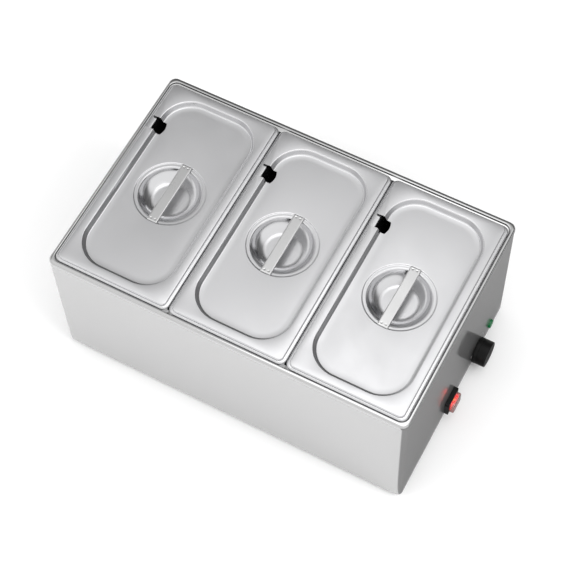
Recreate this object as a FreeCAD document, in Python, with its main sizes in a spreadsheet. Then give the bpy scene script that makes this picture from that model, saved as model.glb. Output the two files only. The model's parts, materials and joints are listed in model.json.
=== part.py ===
# Countertop steam table: a stainless box with one water tank that carries three one-third
# pans with lids, and a control end on its right. Millimetres, +Z up, the origin on the floor
# below the middle of the whole object's box.

import FreeCAD
import Part

import math
import os

import Sketcher
from FreeCAD import Placement, Rotation, Vector

# Driving dimensions: a name, its value in millimetres or degrees, and what it is.
SIZES = [
    ("pan_width", 176.0, "one-third pan across its rim, along X"),
    ("pan_length", 325.0, "one-third pan along its rim, along Y"),
    ("pan_depth", 150.0, "pan from rim to underside"),
    ("pan_gap", 0.67, "between two pan rims"),
    ("pan_sheet", 0.8, "pan sheet"),
    ("pan_rim_width", 11.2, "pan rim from its edge to the wall"),
    ("pan_rim_height", 6.7, "turned-down edge of the pan rim"),
    ("pan_rim_corner", 10.0, "corner of the pan rim"),
    ("pan_rim_bend", 2.2, "outer bend of the pan rim"),
    ("pan_lip_bend", 1.5, "bend from pan rim to pan wall"),
    ("pan_corner", 44.0, "upright corner of the pan"),
    ("pan_draft", 3.0, "slope of the pan wall"),
    ("pan_floor_bend", 14.0, "bend from pan wall to pan floor"),
    ("lid_side_setback", 4.4, "lid edge inside the pan rim, along X"),
    ("lid_end_setback", 2.65, "lid edge inside the pan rim, along Y"),
    ("lid_sheet", 0.8, "lid sheet"),
    ("lid_rim_height", 4.0, "turned-down edge of the lid"),
    ("lid_corner", 8.0, "corner of the lid"),
    ("lid_bend", 1.6, "outer bend of the lid"),
    ("lid_rim_width", 12.8, "lid rim from its edge to the sunken panel"),
    ("panel_drop", 8.0, "sunken panel below the rim"),
    ("panel_corner", 45.0, "corner of the sunken panel"),
    ("panel_draft", 23.0, "slope of the sunken panel's wall"),
    ("panel_bend", 2.0, "bends of the sunken panel's wall"),
    ("notch_width", 21.2, "spoon notch across"),
    ("notch_reach", 24.8, "spoon notch from the lid's edge inwards"),
    ("notch_offset", 88.1, "spoon notch behind the lid's middle"),
    ("notch_rise", 2.3, "bulge of the notch's inner end"),
    ("notch_end", 25.6, "radius of the notch's inner end"),
    ("notch_corner", 2.0, "corners of the notch"),
    ("cup_radius", 50.1, "finger cup's outer ring"),
    ("cup_step", 1.2, "ring below the panel"),
    ("bowl_radius", 44.0, "mouth of the bowl"),
    ("bowl_floor", 25.0, "flat floor of the bowl, radius"),
    ("bowl_depth", 18.0, "bowl floor below the panel"),
    ("bowl_lip", 1.2, "bend at the bowl's mouth"),
    ("strap_width", 13.8, "strap handle across"),
    ("strap_length", 98.2, "strap handle from end to end"),
    ("strap_thickness", 1.5, "strap handle"),
    ("strap_edge", 0.4, "rounding of the strap"),
    ("weld_radius", 1.5, "spot-weld dimple"),
    ("weld_depth", 0.3, "spot-weld dimple"),
    ("weld_side", 3.2, "dimple from the strap's middle line"),
    ("weld_end", 3.2, "dimple from the strap's end"),
    ("tank_sheet", 1.0, "tank sheet"),
    ("pan_play_x", 1.6, "pans to the recess edge, each side, along X"),
    ("pan_play_y", 2.8, "pans to the recess edge, each side, along Y"),
    ("pan_shift_x", 0.9, "pans pushed to the right"),
    ("pan_shift_y", -2.4, "pans pushed to the front"),
    ("rim_band_x", 5.4, "tank rim outside the recess, along X"),
    ("rim_band_y", 7.0, "tank rim outside the recess, along Y"),
    ("rim_corner", 11.0, "corner of the tank rim"),
    ("rim_skirt", 6.5, "rolled-down edge of the tank rim"),
    ("rim_bend", 3.6, "bend of the rolled-down edge"),
    ("recess_corner", 11.5, "corner of the pan recess"),
    ("ledge_step", 3.0, "pan ledge below the rim"),
    ("ledge_width", 7.0, "ledge that carries the pans"),
    ("tank_corner", 40.0, "upright corner of the tank"),
    ("tank_floor_bend", 12.0, "bend from tank wall to tank floor"),
    ("water_gap", 21.0, "water below the pans"),
    ("compartment_height", 63.0, "dry space below the tank"),
    ("rim_gap", 0.1, "housing inside the rolled-down edge"),
    ("housing_sheet", 1.0, "housing sheet"),
    ("housing_corner", 9.9, "upright corner of the housing"),
    ("housing_bend", 1.8, "bottom bend of the housing"),
    ("housing_lip", 18.0, "lip turned in at the bottom"),
    ("base_sheet", 1.0, "base plate"),
    ("base_inset", 3.0, "base plate inside the housing's edge"),
    ("base_corner", 6.0, "corner of the base plate"),
    ("base_screw_inset", 11.0, "base screw from the housing's edge"),
    ("base_screw_spacing", 190.0, "between base screws along X"),
    ("vent_width", 4.0, "vent slot across"),
    ("vent_length", 36.0, "vent slot"),
    ("vent_spacing", 14.0, "between vent slots"),
    ("vent_offset", 150.0, "first vent slot from the middle"),
    ("foot_height", 10.0, "rubber foot"),
    ("foot_top", 12.5, "rubber foot's upper radius"),
    ("foot_bottom", 10.5, "rubber foot's lower radius"),
    ("foot_inset", 35.0, "foot from the housing's edges"),
    ("foot_well", 5.0, "screw well in the foot, radius"),
    ("foot_web", 4.0, "rubber under the screw head"),
    ("screw_radius", 2.0, "M4 thread"),
    ("screw_play", 0.15, "round an M4 screw in a plain hole"),
    ("screw_head", 3.4, "M4 pan head, radius"),
    ("screw_head_height", 2.0, "M4 pan head"),
    ("nut_radius", 4.0, "M4 nut over its corners, radius"),
    ("nut_height", 3.0, "M4 nut"),
    ("base_screw_length", 8.0, "base screw"),
    ("foot_screw_length", 9.5, "foot screw"),
    ("control_height", 24.0, "control row above the housing's bottom edge"),
    ("knob_place", 74.9, "knob behind the middle"),
    ("knob_gap", 1.0, "knob off the wall"),
    ("knob_reach", 21.6, "front of the knob from the wall"),
    ("knob_radius", 20.0, "knob skirt"),
    ("knob_grip_radius", 19.8, "knob grip at the skirt"),
    ("knob_front_radius", 19.6, "knob grip at the front"),
    ("knob_skirt", 5.3, "height of the knob skirt"),
    ("knob_cavity", 18.4, "hollow back of the knob, radius"),
    ("knob_cavity_depth", 11.0, "hollow back of the knob"),
    ("knob_hub", 6.0, "hub in the hollow, radius"),
    ("knob_edge", 1.5, "rounding of the knob's front"),
    ("pointer_width", 1.8, "pointer groove"),
    ("pointer_length", 11.0, "pointer groove"),
    ("pointer_depth", 0.6, "pointer groove"),
    ("spindle_radius", 3.0, "thermostat spindle"),
    ("spindle_reach", 15.0, "spindle outside the wall"),
    ("spindle_tail", 7.0, "spindle inside the thermostat"),
    ("running_gap", 0.05, "round a turning shaft"),
    ("bush_radius", 4.95, "thermostat bush"),
    ("bush_gap", 0.3, "round the bush in the wall"),
    ("thermostat_width", 43.0, "thermostat case"),
    ("thermostat_depth", 28.0, "thermostat case behind the wall"),
    ("thermostat_screws", 14.0, "screw from the spindle's axis"),
    ("thermostat_screw_length", 5.5, "screw into the thermostat"),
    ("lamp_place", 121.6, "lamp behind the middle"),
    ("lens_radius", 6.9, "lamp lens"),
    ("lens_reach", 4.0, "lamp lens off the wall"),
    ("lens_edge", 1.5, "rounding of the lens"),
    ("stem_radius", 4.7, "lens stem"),
    ("stem_length", 5.0, "lens stem behind the wall's face"),
    ("stem_gap", 0.15, "round the lens stem"),
    ("lamp_radius", 6.0, "lamp body"),
    ("lamp_depth", 20.0, "lamp body behind the wall"),
    ("switch_place", -15.6, "switch behind the middle"),
    ("bezel_height", 29.0, "switch bezel, up and down"),
    ("bezel_width", 33.0, "switch bezel across"),
    ("bezel_reach", 6.6, "switch bezel off the wall"),
    ("bezel_corner", 1.5, "corner of the bezel"),
    ("bezel_edge", 0.6, "rounding of the bezel's front"),
    ("switch_height", 21.6, "switch body, up and down"),
    ("switch_width", 27.6, "switch body across"),
    ("switch_depth", 22.0, "switch body behind the wall's face"),
    ("cutout_gap", 0.2, "round the switch body in the wall"),
    ("rocker_radius", 10.4, "rocker's ends about its pivot"),
    ("rocker_width", 15.0, "rocker, up and down"),
    ("rocker_gap", 0.35, "round the rocker in its window"),
    ("rocker_middle", 3.8, "rocker's face above its pivot"),
    ("rocker_slope", 1.83, "rise of each half of the rocker's face"),
    ("rocker_floor", 2.5, "rocker below its pivot"),
    ("rocker_tilt", 10.0, "rocker's tilt each way"),
    ("pivot_reach", 4.5, "rocker's pivot off the wall"),
    ("pivot_radius", 1.25, "rocker's pivot pin"),
    ("pivot_length", 18.0, "pivot pin from end to end"),
    ("window_depth", 9.0, "rocker's well behind the wall's face"),
    ("cover_height", 23.5, "splash cover, up and down"),
    ("cover_width", 25.5, "splash cover across"),
    ("cover_reach", 6.6, "splash cover off the bezel"),
    ("cover_wall", 0.8, "splash cover's wall"),
    ("cover_corner", 4.0, "corner of the splash cover"),
    ("cover_edge", 1.6, "rounding of the splash cover"),
    ("tab_length", 8.0, "spade tab"),
    ("tab_width", 6.3, "spade tab"),
    ("tab_thickness", 0.8, "spade tab"),
    ("element_radius", 4.25, "tubular heater"),
    ("element_pitch", 60.0, "between the heater's runs"),
    ("element_margin", 50.0, "heater's bends inside the tank"),
    ("element_tail", 15.0, "heater's straight end past the bends"),
    ("bead_length", 8.0, "ceramic bead on each heater end"),
    ("bead_radius", 4.0, "ceramic bead"),
    ("clamp_spacing", 130.0, "between clamp bars"),
    ("clamp_width", 16.0, "clamp bar"),
    ("clamp_length", 240.0, "clamp bar"),
    ("clamp_thickness", 2.0, "clamp bar"),
    ("stud_length", 15.0, "weld stud"),
    ("stud_spacing", 120.0, "between the two studs of a clamp bar"),
    ("bulb_radius", 3.0, "thermostat bulb"),
    ("bulb_length", 75.0, "thermostat bulb"),
    ("bulb_end", -30.0, "bulb's tube end from the middle"),
    ("capillary_radius", 1.0, "capillary tube"),
    ("bulb_clip_width", 12.0, "clip round the bulb"),
    ("bulb_clip_length", 36.0, "clip's feet from end to end"),
    ("bulb_clip_studs", 22.0, "between the clip's two studs"),
    ("clip_sheet", 1.0, "clip sheet"),
    ("limiter_radius", 8.0, "overheat limiter's cap"),
    ("limiter_height", 9.0, "overheat limiter's cap"),
    ("limiter_place", 66.0, "limiter from the middle"),
    ("limiter_flange", 36.0, "limiter's flange from end to end"),
    ("limiter_flange_width", 12.0, "limiter's flange"),
    ("limiter_holes", 24.0, "between the limiter's fixing studs"),
    ("block_length", 42.0, "terminal block"),
    ("block_width", 20.0, "terminal block"),
    ("block_height", 16.0, "terminal block"),
    ("block_place", 140.0, "terminal block right of the middle"),
    ("block_inset", 55.0, "terminal block from the rear wall"),
    ("block_hole", 2.6, "wire hole, radius"),
    ("block_hole_spacing", 14.0, "between wire holes"),
    ("block_hole_height", 9.0, "wire holes above the base plate"),
    ("block_screw_spacing", 14.0, "between the block's fixing screws"),
    ("block_ear", 4.0, "thickness under the block's fixing screws"),
    ("gland_place", 195.0, "cable gland right of the middle"),
    ("gland_reach", 19.0, "cable gland behind the rear wall"),
    ("gland_flange", 5.0, "gland's hexagon"),
    ("gland_hex", 12.5, "gland's hexagon over its corners, radius"),
    ("gland_thread", 8.0, "gland's thread, radius"),
    ("gland_tail", 9.0, "gland's thread inside the wall's face"),
    ("gland_bore", 4.2, "cable hole, radius"),
    ("gland_cap_radius", 10.4, "gland's dome nut, radius"),
    ("gland_cap_mouth", 6.5, "gland's dome nut at its mouth, radius"),
    ("earth_place", 215.0, "earth stud right of the middle"),
    ("earth_length", 16.0, "earth screw"),
    ("block_screw_length", 5.5, "terminal block screw"),
    ("wire_radius", 1.3, "insulated wire"),
]

doc = FreeCAD.newDocument("steam_table")
sheet = doc.addObject("Spreadsheet::Sheet", "Sizes")


class Size:
    """A number that remembers the spreadsheet formula it stands for."""

    def __init__(self, value, text):
        self.value = float(value)
        self.text = text

    def __add__(self, other):
        other = as_size(other)
        return Size(self.value + other.value, "(%s + %s)" % (self.text, other.text))

    def __sub__(self, other):
        other = as_size(other)
        return Size(self.value - other.value, "(%s - %s)" % (self.text, other.text))

    def __mul__(self, other):
        other = as_size(other)
        return Size(self.value * other.value, "%s * %s" % (self.text, other.text))

    def __truediv__(self, other):
        other = as_size(other)
        return Size(self.value / other.value, "%s / %s" % (self.text, other.text))

    def __neg__(self):
        return Size(-self.value, "(0 - %s)" % self.text)

    def __radd__(self, other):
        return as_size(other) + self

    def __rsub__(self, other):
        return as_size(other) - self

    def __rmul__(self, other):
        return self * other


def as_size(number):
    return number if isinstance(number, Size) else Size(number, repr(float(number)))


class Named:
    """The driving dimensions, each as an attribute."""


def fill_sheet():
    """Writes the driving dimensions to the spreadsheet and returns them by name."""
    named = Named()
    for row, (name, value, note) in enumerate(SIZES, 1):
        sheet.set("A%d" % row, note)
        sheet.set("B%d" % row, repr(value))
        sheet.setAlias("B%d" % row, name)
        setattr(named, name, Size(value, "Sizes." + name))
    doc.recompute()
    return named


S = fill_sheet()

# Sizes that follow from the driving ones.
pan_pitch = S.pan_width + S.pan_gap
pan_mouth_x = S.pan_width - 2 * S.pan_rim_width
pan_mouth_y = S.pan_length - 2 * S.pan_rim_width
recess_x = 2 * pan_pitch + S.pan_width + 2 * S.pan_play_x
recess_y = S.pan_length + 2 * S.pan_play_y
mouth_x = recess_x - 2 * S.ledge_width
mouth_y = recess_y - 2 * S.ledge_width
rim_x = recess_x + 2 * S.rim_band_x
rim_y = recess_y + 2 * S.rim_band_y
rim_wall = S.tank_sheet + S.rim_gap
housing_x = rim_x - 2 * rim_wall
housing_y = rim_y - 2 * rim_wall

# Heights above the floor.
housing_bottom = S.foot_height + S.base_sheet
tank_bottom = housing_bottom + S.compartment_height
pan_bottom = tank_bottom + S.tank_sheet + S.water_gap
pan_top = pan_bottom + S.pan_depth
ledge_top = pan_top - S.pan_rim_height
rim_top = ledge_top + S.ledge_step
housing_top = ledge_top - S.tank_sheet
lid_top = pan_top + S.lid_rim_height
panel_top = lid_top - S.panel_drop
ring_top = panel_top - S.cup_step
control_z = housing_bottom + S.control_height
wall_x = housing_x / 2
wall_y = housing_y / 2
wall_in_x = wall_x - S.housing_sheet

# The box's middle lies off the housing's middle by half of what sticks out on one side.
middle_x = (rim_x / 2 - wall_x - S.knob_reach) / 2
middle_y = (rim_y / 2 - wall_y - S.gland_reach) / 2

# Turns that lay a sub-part's own Z axis along a direction.
TO_RIGHT = Rotation(Vector(0, 1, 0), 90)
TO_LEFT = Rotation(Vector(0, 1, 0), -90)
TO_REAR = Rotation(Vector(1, 0, 0), -90)
TO_FRONT = Rotation(Vector(1, 0, 0), 90)
TO_FLOOR = Rotation(Vector(1, 0, 0), 180)

nodes = []


def bind(thing, path, size):
    """Ties a property or a constraint to the spreadsheet."""
    thing.setExpression(path, as_size(size).text)


def place(thing, x, y, z, turn=None):
    """Puts a sub-part at a point counted from the housing's middle and the floor."""
    if turn is not None:
        thing.Placement = Placement(Vector(), turn)
    bind(thing, "Placement.Base.x", middle_x + x)
    bind(thing, "Placement.Base.y", middle_y + y)
    bind(thing, "Placement.Base.z", as_size(z))


def node(thing, name):
    """Counts an object as a sub-part of that name."""
    thing.Label = name
    nodes.append(thing)
    return thing


def new_body(name, template=False):
    body = doc.addObject("PartDesign::Body", name)
    if not template:
        node(body, name)
    return body


def new_sketch(body, role, lift=0.0):
    """A sketch on one of the body's own planes, moved along the plane's normal."""
    sketch = body.newObject("Sketcher::SketchObject", body.Name + "_sketch")
    planes = [plane for plane in body.Origin.OriginFeatures if plane.Role == role]
    sketch.AttachmentSupport = [(planes[0], "")]
    sketch.MapMode = "FlatFace"
    bind(sketch, "AttachmentOffset.Base.z", lift)
    return sketch


def constrain(sketch, kind, *where_and_size):
    """Adds a dimension whose last argument is its size."""
    where = where_and_size[:-1]
    size = as_size(where_and_size[-1])
    index = sketch.addConstraint(Sketcher.Constraint(kind, *where, size.value))
    bind(sketch, "Constraints[%d]" % index, size)


def join(sketch, kind, *where):
    sketch.addConstraint(Sketcher.Constraint(kind, *where))


def draw_rounded(sketch, length, width, corner, x=0.0, y=0.0):
    """A rounded rectangle, length along the sketch's own x, about the point x, y."""
    length, width, corner = as_size(length), as_size(width), as_size(corner)
    x, y = as_size(x), as_size(y)
    left, right = x - length / 2, x + length / 2
    low, high = y - width / 2, y + width / 2
    r = corner.value
    corners = [
        (right.value - r, low.value + r, 3),
        (right.value - r, high.value - r, 0),
        (left.value + r, high.value - r, 1),
        (left.value + r, low.value + r, 2),
    ]
    quarter = 1.5707963267948966
    ends = []
    for cx, cy, turn in corners:
        arc = Part.ArcOfCircle(
            Part.Circle(Vector(cx, cy, 0), Vector(0, 0, 1), r),
            turn * quarter,
            (turn + 1) * quarter,
        )
        ends.append((arc, arc.StartPoint, arc.EndPoint))
    first = sketch.GeometryCount
    for i, (arc, start, end) in enumerate(ends):
        sketch.addGeometry(Part.LineSegment(ends[i - 1][2], start), False)
        sketch.addGeometry(arc, False)
    lines = [first + 2 * i for i in range(4)]
    arcs = [first + 2 * i + 1 for i in range(4)]
    for i in range(4):
        join(sketch, "Tangent", lines[i], 2, arcs[i], 1)
        join(sketch, "Tangent", arcs[i], 2, lines[(i + 1) % 4], 1)
        join(sketch, "Horizontal" if i % 2 == 0 else "Vertical", lines[i])
    for arc in arcs[1:]:
        join(sketch, "Equal", arcs[0], arc)
    constrain(sketch, "Radius", arcs[0], corner)
    constrain(sketch, "DistanceY", -1, 1, lines[0], 1, low)
    constrain(sketch, "DistanceX", -1, 1, lines[1], 1, right)
    constrain(sketch, "DistanceY", -1, 1, lines[2], 1, high)
    constrain(sketch, "DistanceX", -1, 1, lines[3], 1, left)


def draw_outline(sketch, points, arcs=(), closed=True):
    """An outline through points. An arc is (its first point's number, a point that it roughly
    passes, and "before" or "after" for the line it is tangent to, or its radius)."""
    points = [(as_size(x), as_size(y)) for x, y in points]
    count = len(points)
    pieces = count if closed else count - 1
    first = sketch.GeometryCount
    bends = {start: (middle, rule) for start, middle, rule in arcs}
    turned = set()
    for i in range(pieces):
        a = Vector(points[i][0].value, points[i][1].value, 0)
        b = Vector(points[(i + 1) % count][0].value, points[(i + 1) % count][1].value, 0)
        if i in bends:
            middle = Vector(*bends[i][0], 0)
            if (middle - a).cross(b - middle).z < 0:
                turned.add(i)
            sketch.addGeometry(Part.Arc(a, middle, b), False)
        else:
            sketch.addGeometry(Part.LineSegment(a, b), False)
    start = {i: 2 if i in turned else 1 for i in range(pieces)}
    end = {i: 1 if i in turned else 2 for i in range(pieces)}
    for i in range(count if closed else pieces - 1):
        after = (i + 1) % pieces
        kind = "Coincident"
        if i in bends and bends[i][1] == "after":
            kind = "Tangent"
        if after in bends and bends[after][1] == "before":
            kind = "Tangent"
        join(sketch, kind, first + i, end[i], first + after, start[after])
    for i, (x, y) in enumerate(points):
        where = (first + i, start[i]) if i < pieces else (first + i - 1, end[i - 1])
        constrain(sketch, "DistanceX", -1, 1, *where, x)
        constrain(sketch, "DistanceY", -1, 1, *where, y)
    for i, (middle, rule) in bends.items():
        if isinstance(rule, Size):
            constrain(sketch, "Radius", first + i, rule)


def draw_circle(sketch, radius, x=0.0, y=0.0):
    x, y, radius = as_size(x), as_size(y), as_size(radius)
    circle = Part.Circle(Vector(x.value, y.value, 0), Vector(0, 0, 1), radius.value)
    index = sketch.addGeometry(circle, False)
    constrain(sketch, "Radius", index, radius)
    constrain(sketch, "DistanceX", -1, 1, index, 3, x)
    constrain(sketch, "DistanceY", -1, 1, index, 3, y)


def add_feature(body, kind, sketch, length, back, draft, both):
    feature = body.newObject("PartDesign::" + kind, "%s_%s" % (body.Name, kind.lower()))
    feature.Profile = sketch
    feature.Reversed = back
    if both:
        feature.SideType = "Symmetric"
    bind(feature, "Length", length)
    if draft is not None:
        bind(feature, "TaperAngle", draft)
    return feature


def pad(body, sketch, length, back=False, draft=None, both=False):
    """Adds the sketch's area along its normal, or against it with back."""
    return add_feature(body, "Pad", sketch, length, back, draft, both)


def pocket(body, sketch, length, back=False, draft=None, both=False):
    """Cuts the sketch's area against its normal, or along it with back."""
    return add_feature(body, "Pocket", sketch, length, back, draft, both)


def revolve(body, points, arcs=()):
    """Turns an outline of radius and height about the body's own Z axis."""
    sketch = new_sketch(body, "XZ_Plane")
    draw_outline(sketch, points, arcs)
    feature = body.newObject("PartDesign::Revolution", body.Name + "_revolution")
    feature.Profile = sketch
    feature.ReferenceAxis = (sketch, ["V_Axis"])
    feature.Angle = 360
    return feature


def pad_rounded(body, size, lift, height, back=False, draft=None):
    sketch = new_sketch(body, "XY_Plane", lift)
    draw_rounded(sketch, *size)
    return pad(body, sketch, height, back, draft)


def pocket_rounded(body, size, lift, depth, back=False, draft=None, island=None):
    """Cuts a rounded rectangle, less an island of another size where one is given."""
    sketch = new_sketch(body, "XY_Plane", lift)
    draw_rounded(sketch, *size)
    if island is not None:
        draw_rounded(sketch, *island)
    return pocket(body, sketch, depth, back, draft)


def pocket_circles(body, radius, spots, lift, depth, role="XY_Plane", back=False):
    sketch = new_sketch(body, role, lift)
    for x, y in spots:
        draw_circle(sketch, radius, x, y)
    return pocket(body, sketch, depth, back)


def round_edges(body, radius, wanted):
    """Fillets the edges of the body so far whose middle point passes the test."""
    doc.recompute()
    base = body.Tip
    names = []
    for number, edge in enumerate(base.Shape.Edges, 1):
        middle = edge.valueAt((edge.FirstParameter + edge.LastParameter) / 2)
        ends = [vertex.Z for vertex in edge.Vertexes] + [middle.z]
        if wanted(middle, max(ends) - min(ends)):
            names.append("Edge%d" % number)
    if not names:
        raise ValueError("no edge to round on " + body.Label)
    fillet = body.newObject("PartDesign::Fillet", body.Name + "_fillet")
    fillet.Base = (base, names)
    bind(fillet, "Radius", radius)
    return fillet


def level(height, beyond_x=None, within_x=None):
    """A test for level edges at a height, and for how far out their middle lies: beyond or
    within half of a size counted along X, with the matching size along Y."""
    height = as_size(height).value

    def wanted(middle, rise):
        if rise > 0.001 or abs(middle.z - height) > 0.001:
            return False
        if beyond_x is not None:
            return abs(middle.x) > beyond_x[0] / 2 or abs(middle.y) > beyond_x[1] / 2
        if within_x is not None:
            return abs(middle.x) < within_x[0] / 2 and abs(middle.y) < within_x[1] / 2
        return True

    return wanted


def grown(size, margin):
    """A rounded rectangle's length, width and corner, moved outwards by a margin."""
    return (size[0] + 2 * margin, size[1] + 2 * margin, size[2] + margin)


def group(name, template, spots, turn=None):
    """One node of like pieces: copies of a template at points from the housing's middle."""
    links = []
    for x, y, z, *own in spots:
        link = doc.addObject("App::Link", name + "_copy")
        link.LinkedObject = template
        place(link, x, y, z, own[0] if own else turn)
        links.append(link)
    compound = doc.addObject("Part::Compound", name)
    compound.Links = links
    return node(compound, name)


def make_housing():
    """The wrap of bent sheet, with a lip at the bottom and the control cut-outs."""
    body = new_body("outer_housing")
    place(body, 0, 0, housing_bottom)
    outer = (housing_x, housing_y, S.housing_corner)
    height = housing_top - housing_bottom
    sheet_size = S.housing_sheet
    pad_rounded(body, outer, 0, height)
    round_edges(body, S.housing_bend, level(0))
    pocket_rounded(body, grown(outer, -sheet_size), height, height - sheet_size)
    opening = (housing_x - 2 * S.housing_lip, housing_y - 2 * S.housing_lip, S.base_corner)
    pocket_rounded(body, opening, sheet_size, sheet_size)
    pocket_circles(body, S.screw_radius + S.screw_play, base_screw_spots(), sheet_size, sheet_size)
    row = S.control_height
    wall = new_sketch(body, "YZ_Plane", wall_x)
    draw_circle(wall, S.bush_radius + S.bush_gap, S.knob_place, row)
    for side in (-1, 1):
        across = S.knob_place + side * S.thermostat_screws
        draw_circle(wall, S.screw_radius + S.screw_play, across, row)
    draw_circle(wall, S.stem_radius + S.stem_gap, S.lamp_place, row)
    gap = 2 * S.cutout_gap
    draw_rounded(wall, S.switch_width + gap, S.switch_height + gap, 0.5, S.switch_place, row)
    pocket(body, wall, 2 * sheet_size)
    rear = new_sketch(body, "XZ_Plane", -wall_y)
    draw_circle(rear, S.gland_thread + S.screw_play, S.gland_place, row)
    draw_circle(rear, S.screw_radius + S.screw_play, S.earth_place, row)
    pocket(body, rear, 2 * sheet_size, back=True)


def base_screw_spots():
    reach = wall_y - S.base_screw_inset
    return [(i * S.base_screw_spacing, side * reach) for i in (-1, 0, 1) for side in (-1, 1)]


def foot_spots():
    x = wall_x - S.foot_inset
    y = wall_y - S.foot_inset
    return {
        "front_left": (-x, -y),
        "front_right": (x, -y),
        "rear_left": (-x, y),
        "rear_right": (x, y),
    }


def make_tank():
    """The drawn tank: rolled-down rim, ledge for the pans, walls and floor."""
    body = new_body("tank")
    place(body, 0, 0, tank_bottom)
    sheet_size = S.tank_sheet
    ledge = ledge_top - tank_bottom
    top = rim_top - tank_bottom
    skirt = top - S.rim_skirt
    rim = (rim_x, rim_y, S.rim_corner)
    recess = (recess_x, recess_y, S.recess_corner)
    mouth = (mouth_x, mouth_y, S.tank_corner)
    walls = grown(mouth, sheet_size)
    pad_rounded(body, rim, skirt, S.rim_skirt)
    pad_rounded(body, walls, 0, ledge)
    pocket_rounded(body, recess, top, S.ledge_step)
    pocket_rounded(body, mouth, ledge, ledge - sheet_size)
    round_edges(body, S.tank_floor_bend, level(sheet_size))
    round_edges(body, S.tank_floor_bend + sheet_size, level(0))
    beyond = ((recess_x + S.rim_band_x).value, (recess_y + S.rim_band_y).value)
    round_edges(body, S.rim_bend, level(top, beyond_x=beyond))
    low = S.rim_skirt - S.ledge_step - sheet_size
    pocket_rounded(body, grown(rim, -sheet_size), skirt, low, back=True, island=walls)
    inside_bend = grown(rim, sheet_size - S.rim_bend)
    around = grown(recess, sheet_size)
    pocket_rounded(body, inside_bend, skirt + low, S.ledge_step, back=True, island=around)


def make_pan(name, x, y):
    """A drawn one-third pan: turned-down rim, sloped walls and floor."""
    body = new_body(name)
    place(body, x, y, pan_top)
    sheet_size = S.pan_sheet
    rim = (S.pan_width, S.pan_length, S.pan_rim_corner)
    mouth = (pan_mouth_x, pan_mouth_y, S.pan_corner)
    walls = grown(mouth, sheet_size)
    pad_rounded(body, rim, -S.pan_rim_height, S.pan_rim_height)
    pad_rounded(body, walls, 0, S.pan_depth, back=True, draft=-S.pan_draft)
    pocket_rounded(body, mouth, 0, S.pan_depth - sheet_size, draft=-S.pan_draft)
    round_edges(body, S.pan_floor_bend, level(sheet_size - S.pan_depth))
    round_edges(body, S.pan_floor_bend + sheet_size, level(-S.pan_depth))
    between_x = (pan_mouth_x + S.pan_rim_width).value
    between_y = (pan_mouth_y + S.pan_rim_width).value
    round_edges(body, S.pan_lip_bend, level(0, within_x=(between_x, between_y)))
    round_edges(body, S.pan_rim_bend, level(0, beyond_x=(between_x, between_y)))
    low = S.pan_rim_height - S.pan_rim_bend
    pocket_rounded(body, grown(rim, -sheet_size), -S.pan_rim_height, low, True, None, walls)
    bend = S.pan_rim_bend - sheet_size
    upper = grown(rim, -bend)
    pocket_rounded(body, upper, -S.pan_rim_bend, bend, True, None, grown(walls, bend))


def make_lid(name, x, y):
    """A pressed lid: turned-down rim, sunken panel, finger cup and spoon notch."""
    body = new_body(name)
    place(body, x, y, lid_top)
    sheet_size = S.lid_sheet
    lid_x = S.pan_width - 2 * S.lid_side_setback
    lid_y = S.pan_length - 2 * S.lid_end_setback
    rim = (lid_x, lid_y, S.lid_corner)
    panel = grown((lid_x, lid_y, S.panel_corner + S.lid_rim_width), -S.lid_rim_width)
    pad_rounded(body, rim, -S.lid_rim_height, S.lid_rim_height)
    round_edges(body, S.lid_bend, level(0))
    hollow = S.lid_rim_height - sheet_size
    pocket_rounded(body, grown(rim, -sheet_size), -S.lid_rim_height, hollow, back=True)
    pressed = S.panel_drop + sheet_size
    pad_rounded(body, grown(panel, sheet_size), 0, pressed, True, -S.panel_draft)
    round_edges(body, S.panel_bend, level(-pressed))
    pocket_rounded(body, panel, 0, S.panel_drop, draft=-S.panel_draft)
    round_edges(body, S.panel_bend, level(-S.panel_drop))
    inside = ((lid_x - S.lid_rim_width).value, (lid_y - S.lid_rim_width).value)
    round_edges(body, S.panel_bend, level(0, within_x=inside))
    pocket_circles(body, S.cup_radius, [(0, 0)], -S.panel_drop, sheet_size)
    add_cup(body, sheet_size)
    cut_notch(body, lid_x, pressed)


def add_cup(body, sheet_size):
    """The finger cup in the panel: a step, a flat ring and a round bowl with a flat floor."""
    panel = -S.panel_drop
    ring = panel - S.cup_step
    floor = panel - S.bowl_depth
    outer = S.cup_radius + sheet_size
    mouth = S.bowl_radius + sheet_size
    high = panel - sheet_size / 2
    belly = S.bowl_floor + 0.7 * (S.bowl_radius - S.bowl_floor)
    belly_z = floor + 0.25 * (ring - floor)
    points = [
        (0, floor),
        (S.bowl_floor, floor),
        (S.bowl_radius, ring),
        (S.cup_radius, ring),
        (S.cup_radius, high),
        (outer, high),
        (outer, ring - sheet_size),
        (mouth, ring - sheet_size),
        (S.bowl_floor, floor - sheet_size),
        (0, floor - sheet_size),
    ]
    inner = (1, (belly.value, belly_z.value), "before")
    under = (7, (belly.value + sheet_size.value, belly_z.value - sheet_size.value), "after")
    revolve(body, points, [inner, under])
    mouth_size = 2 * S.bowl_radius.value + 1
    round_edges(body, S.bowl_lip, level(ring, within_x=(mouth_size, mouth_size)))


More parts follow.
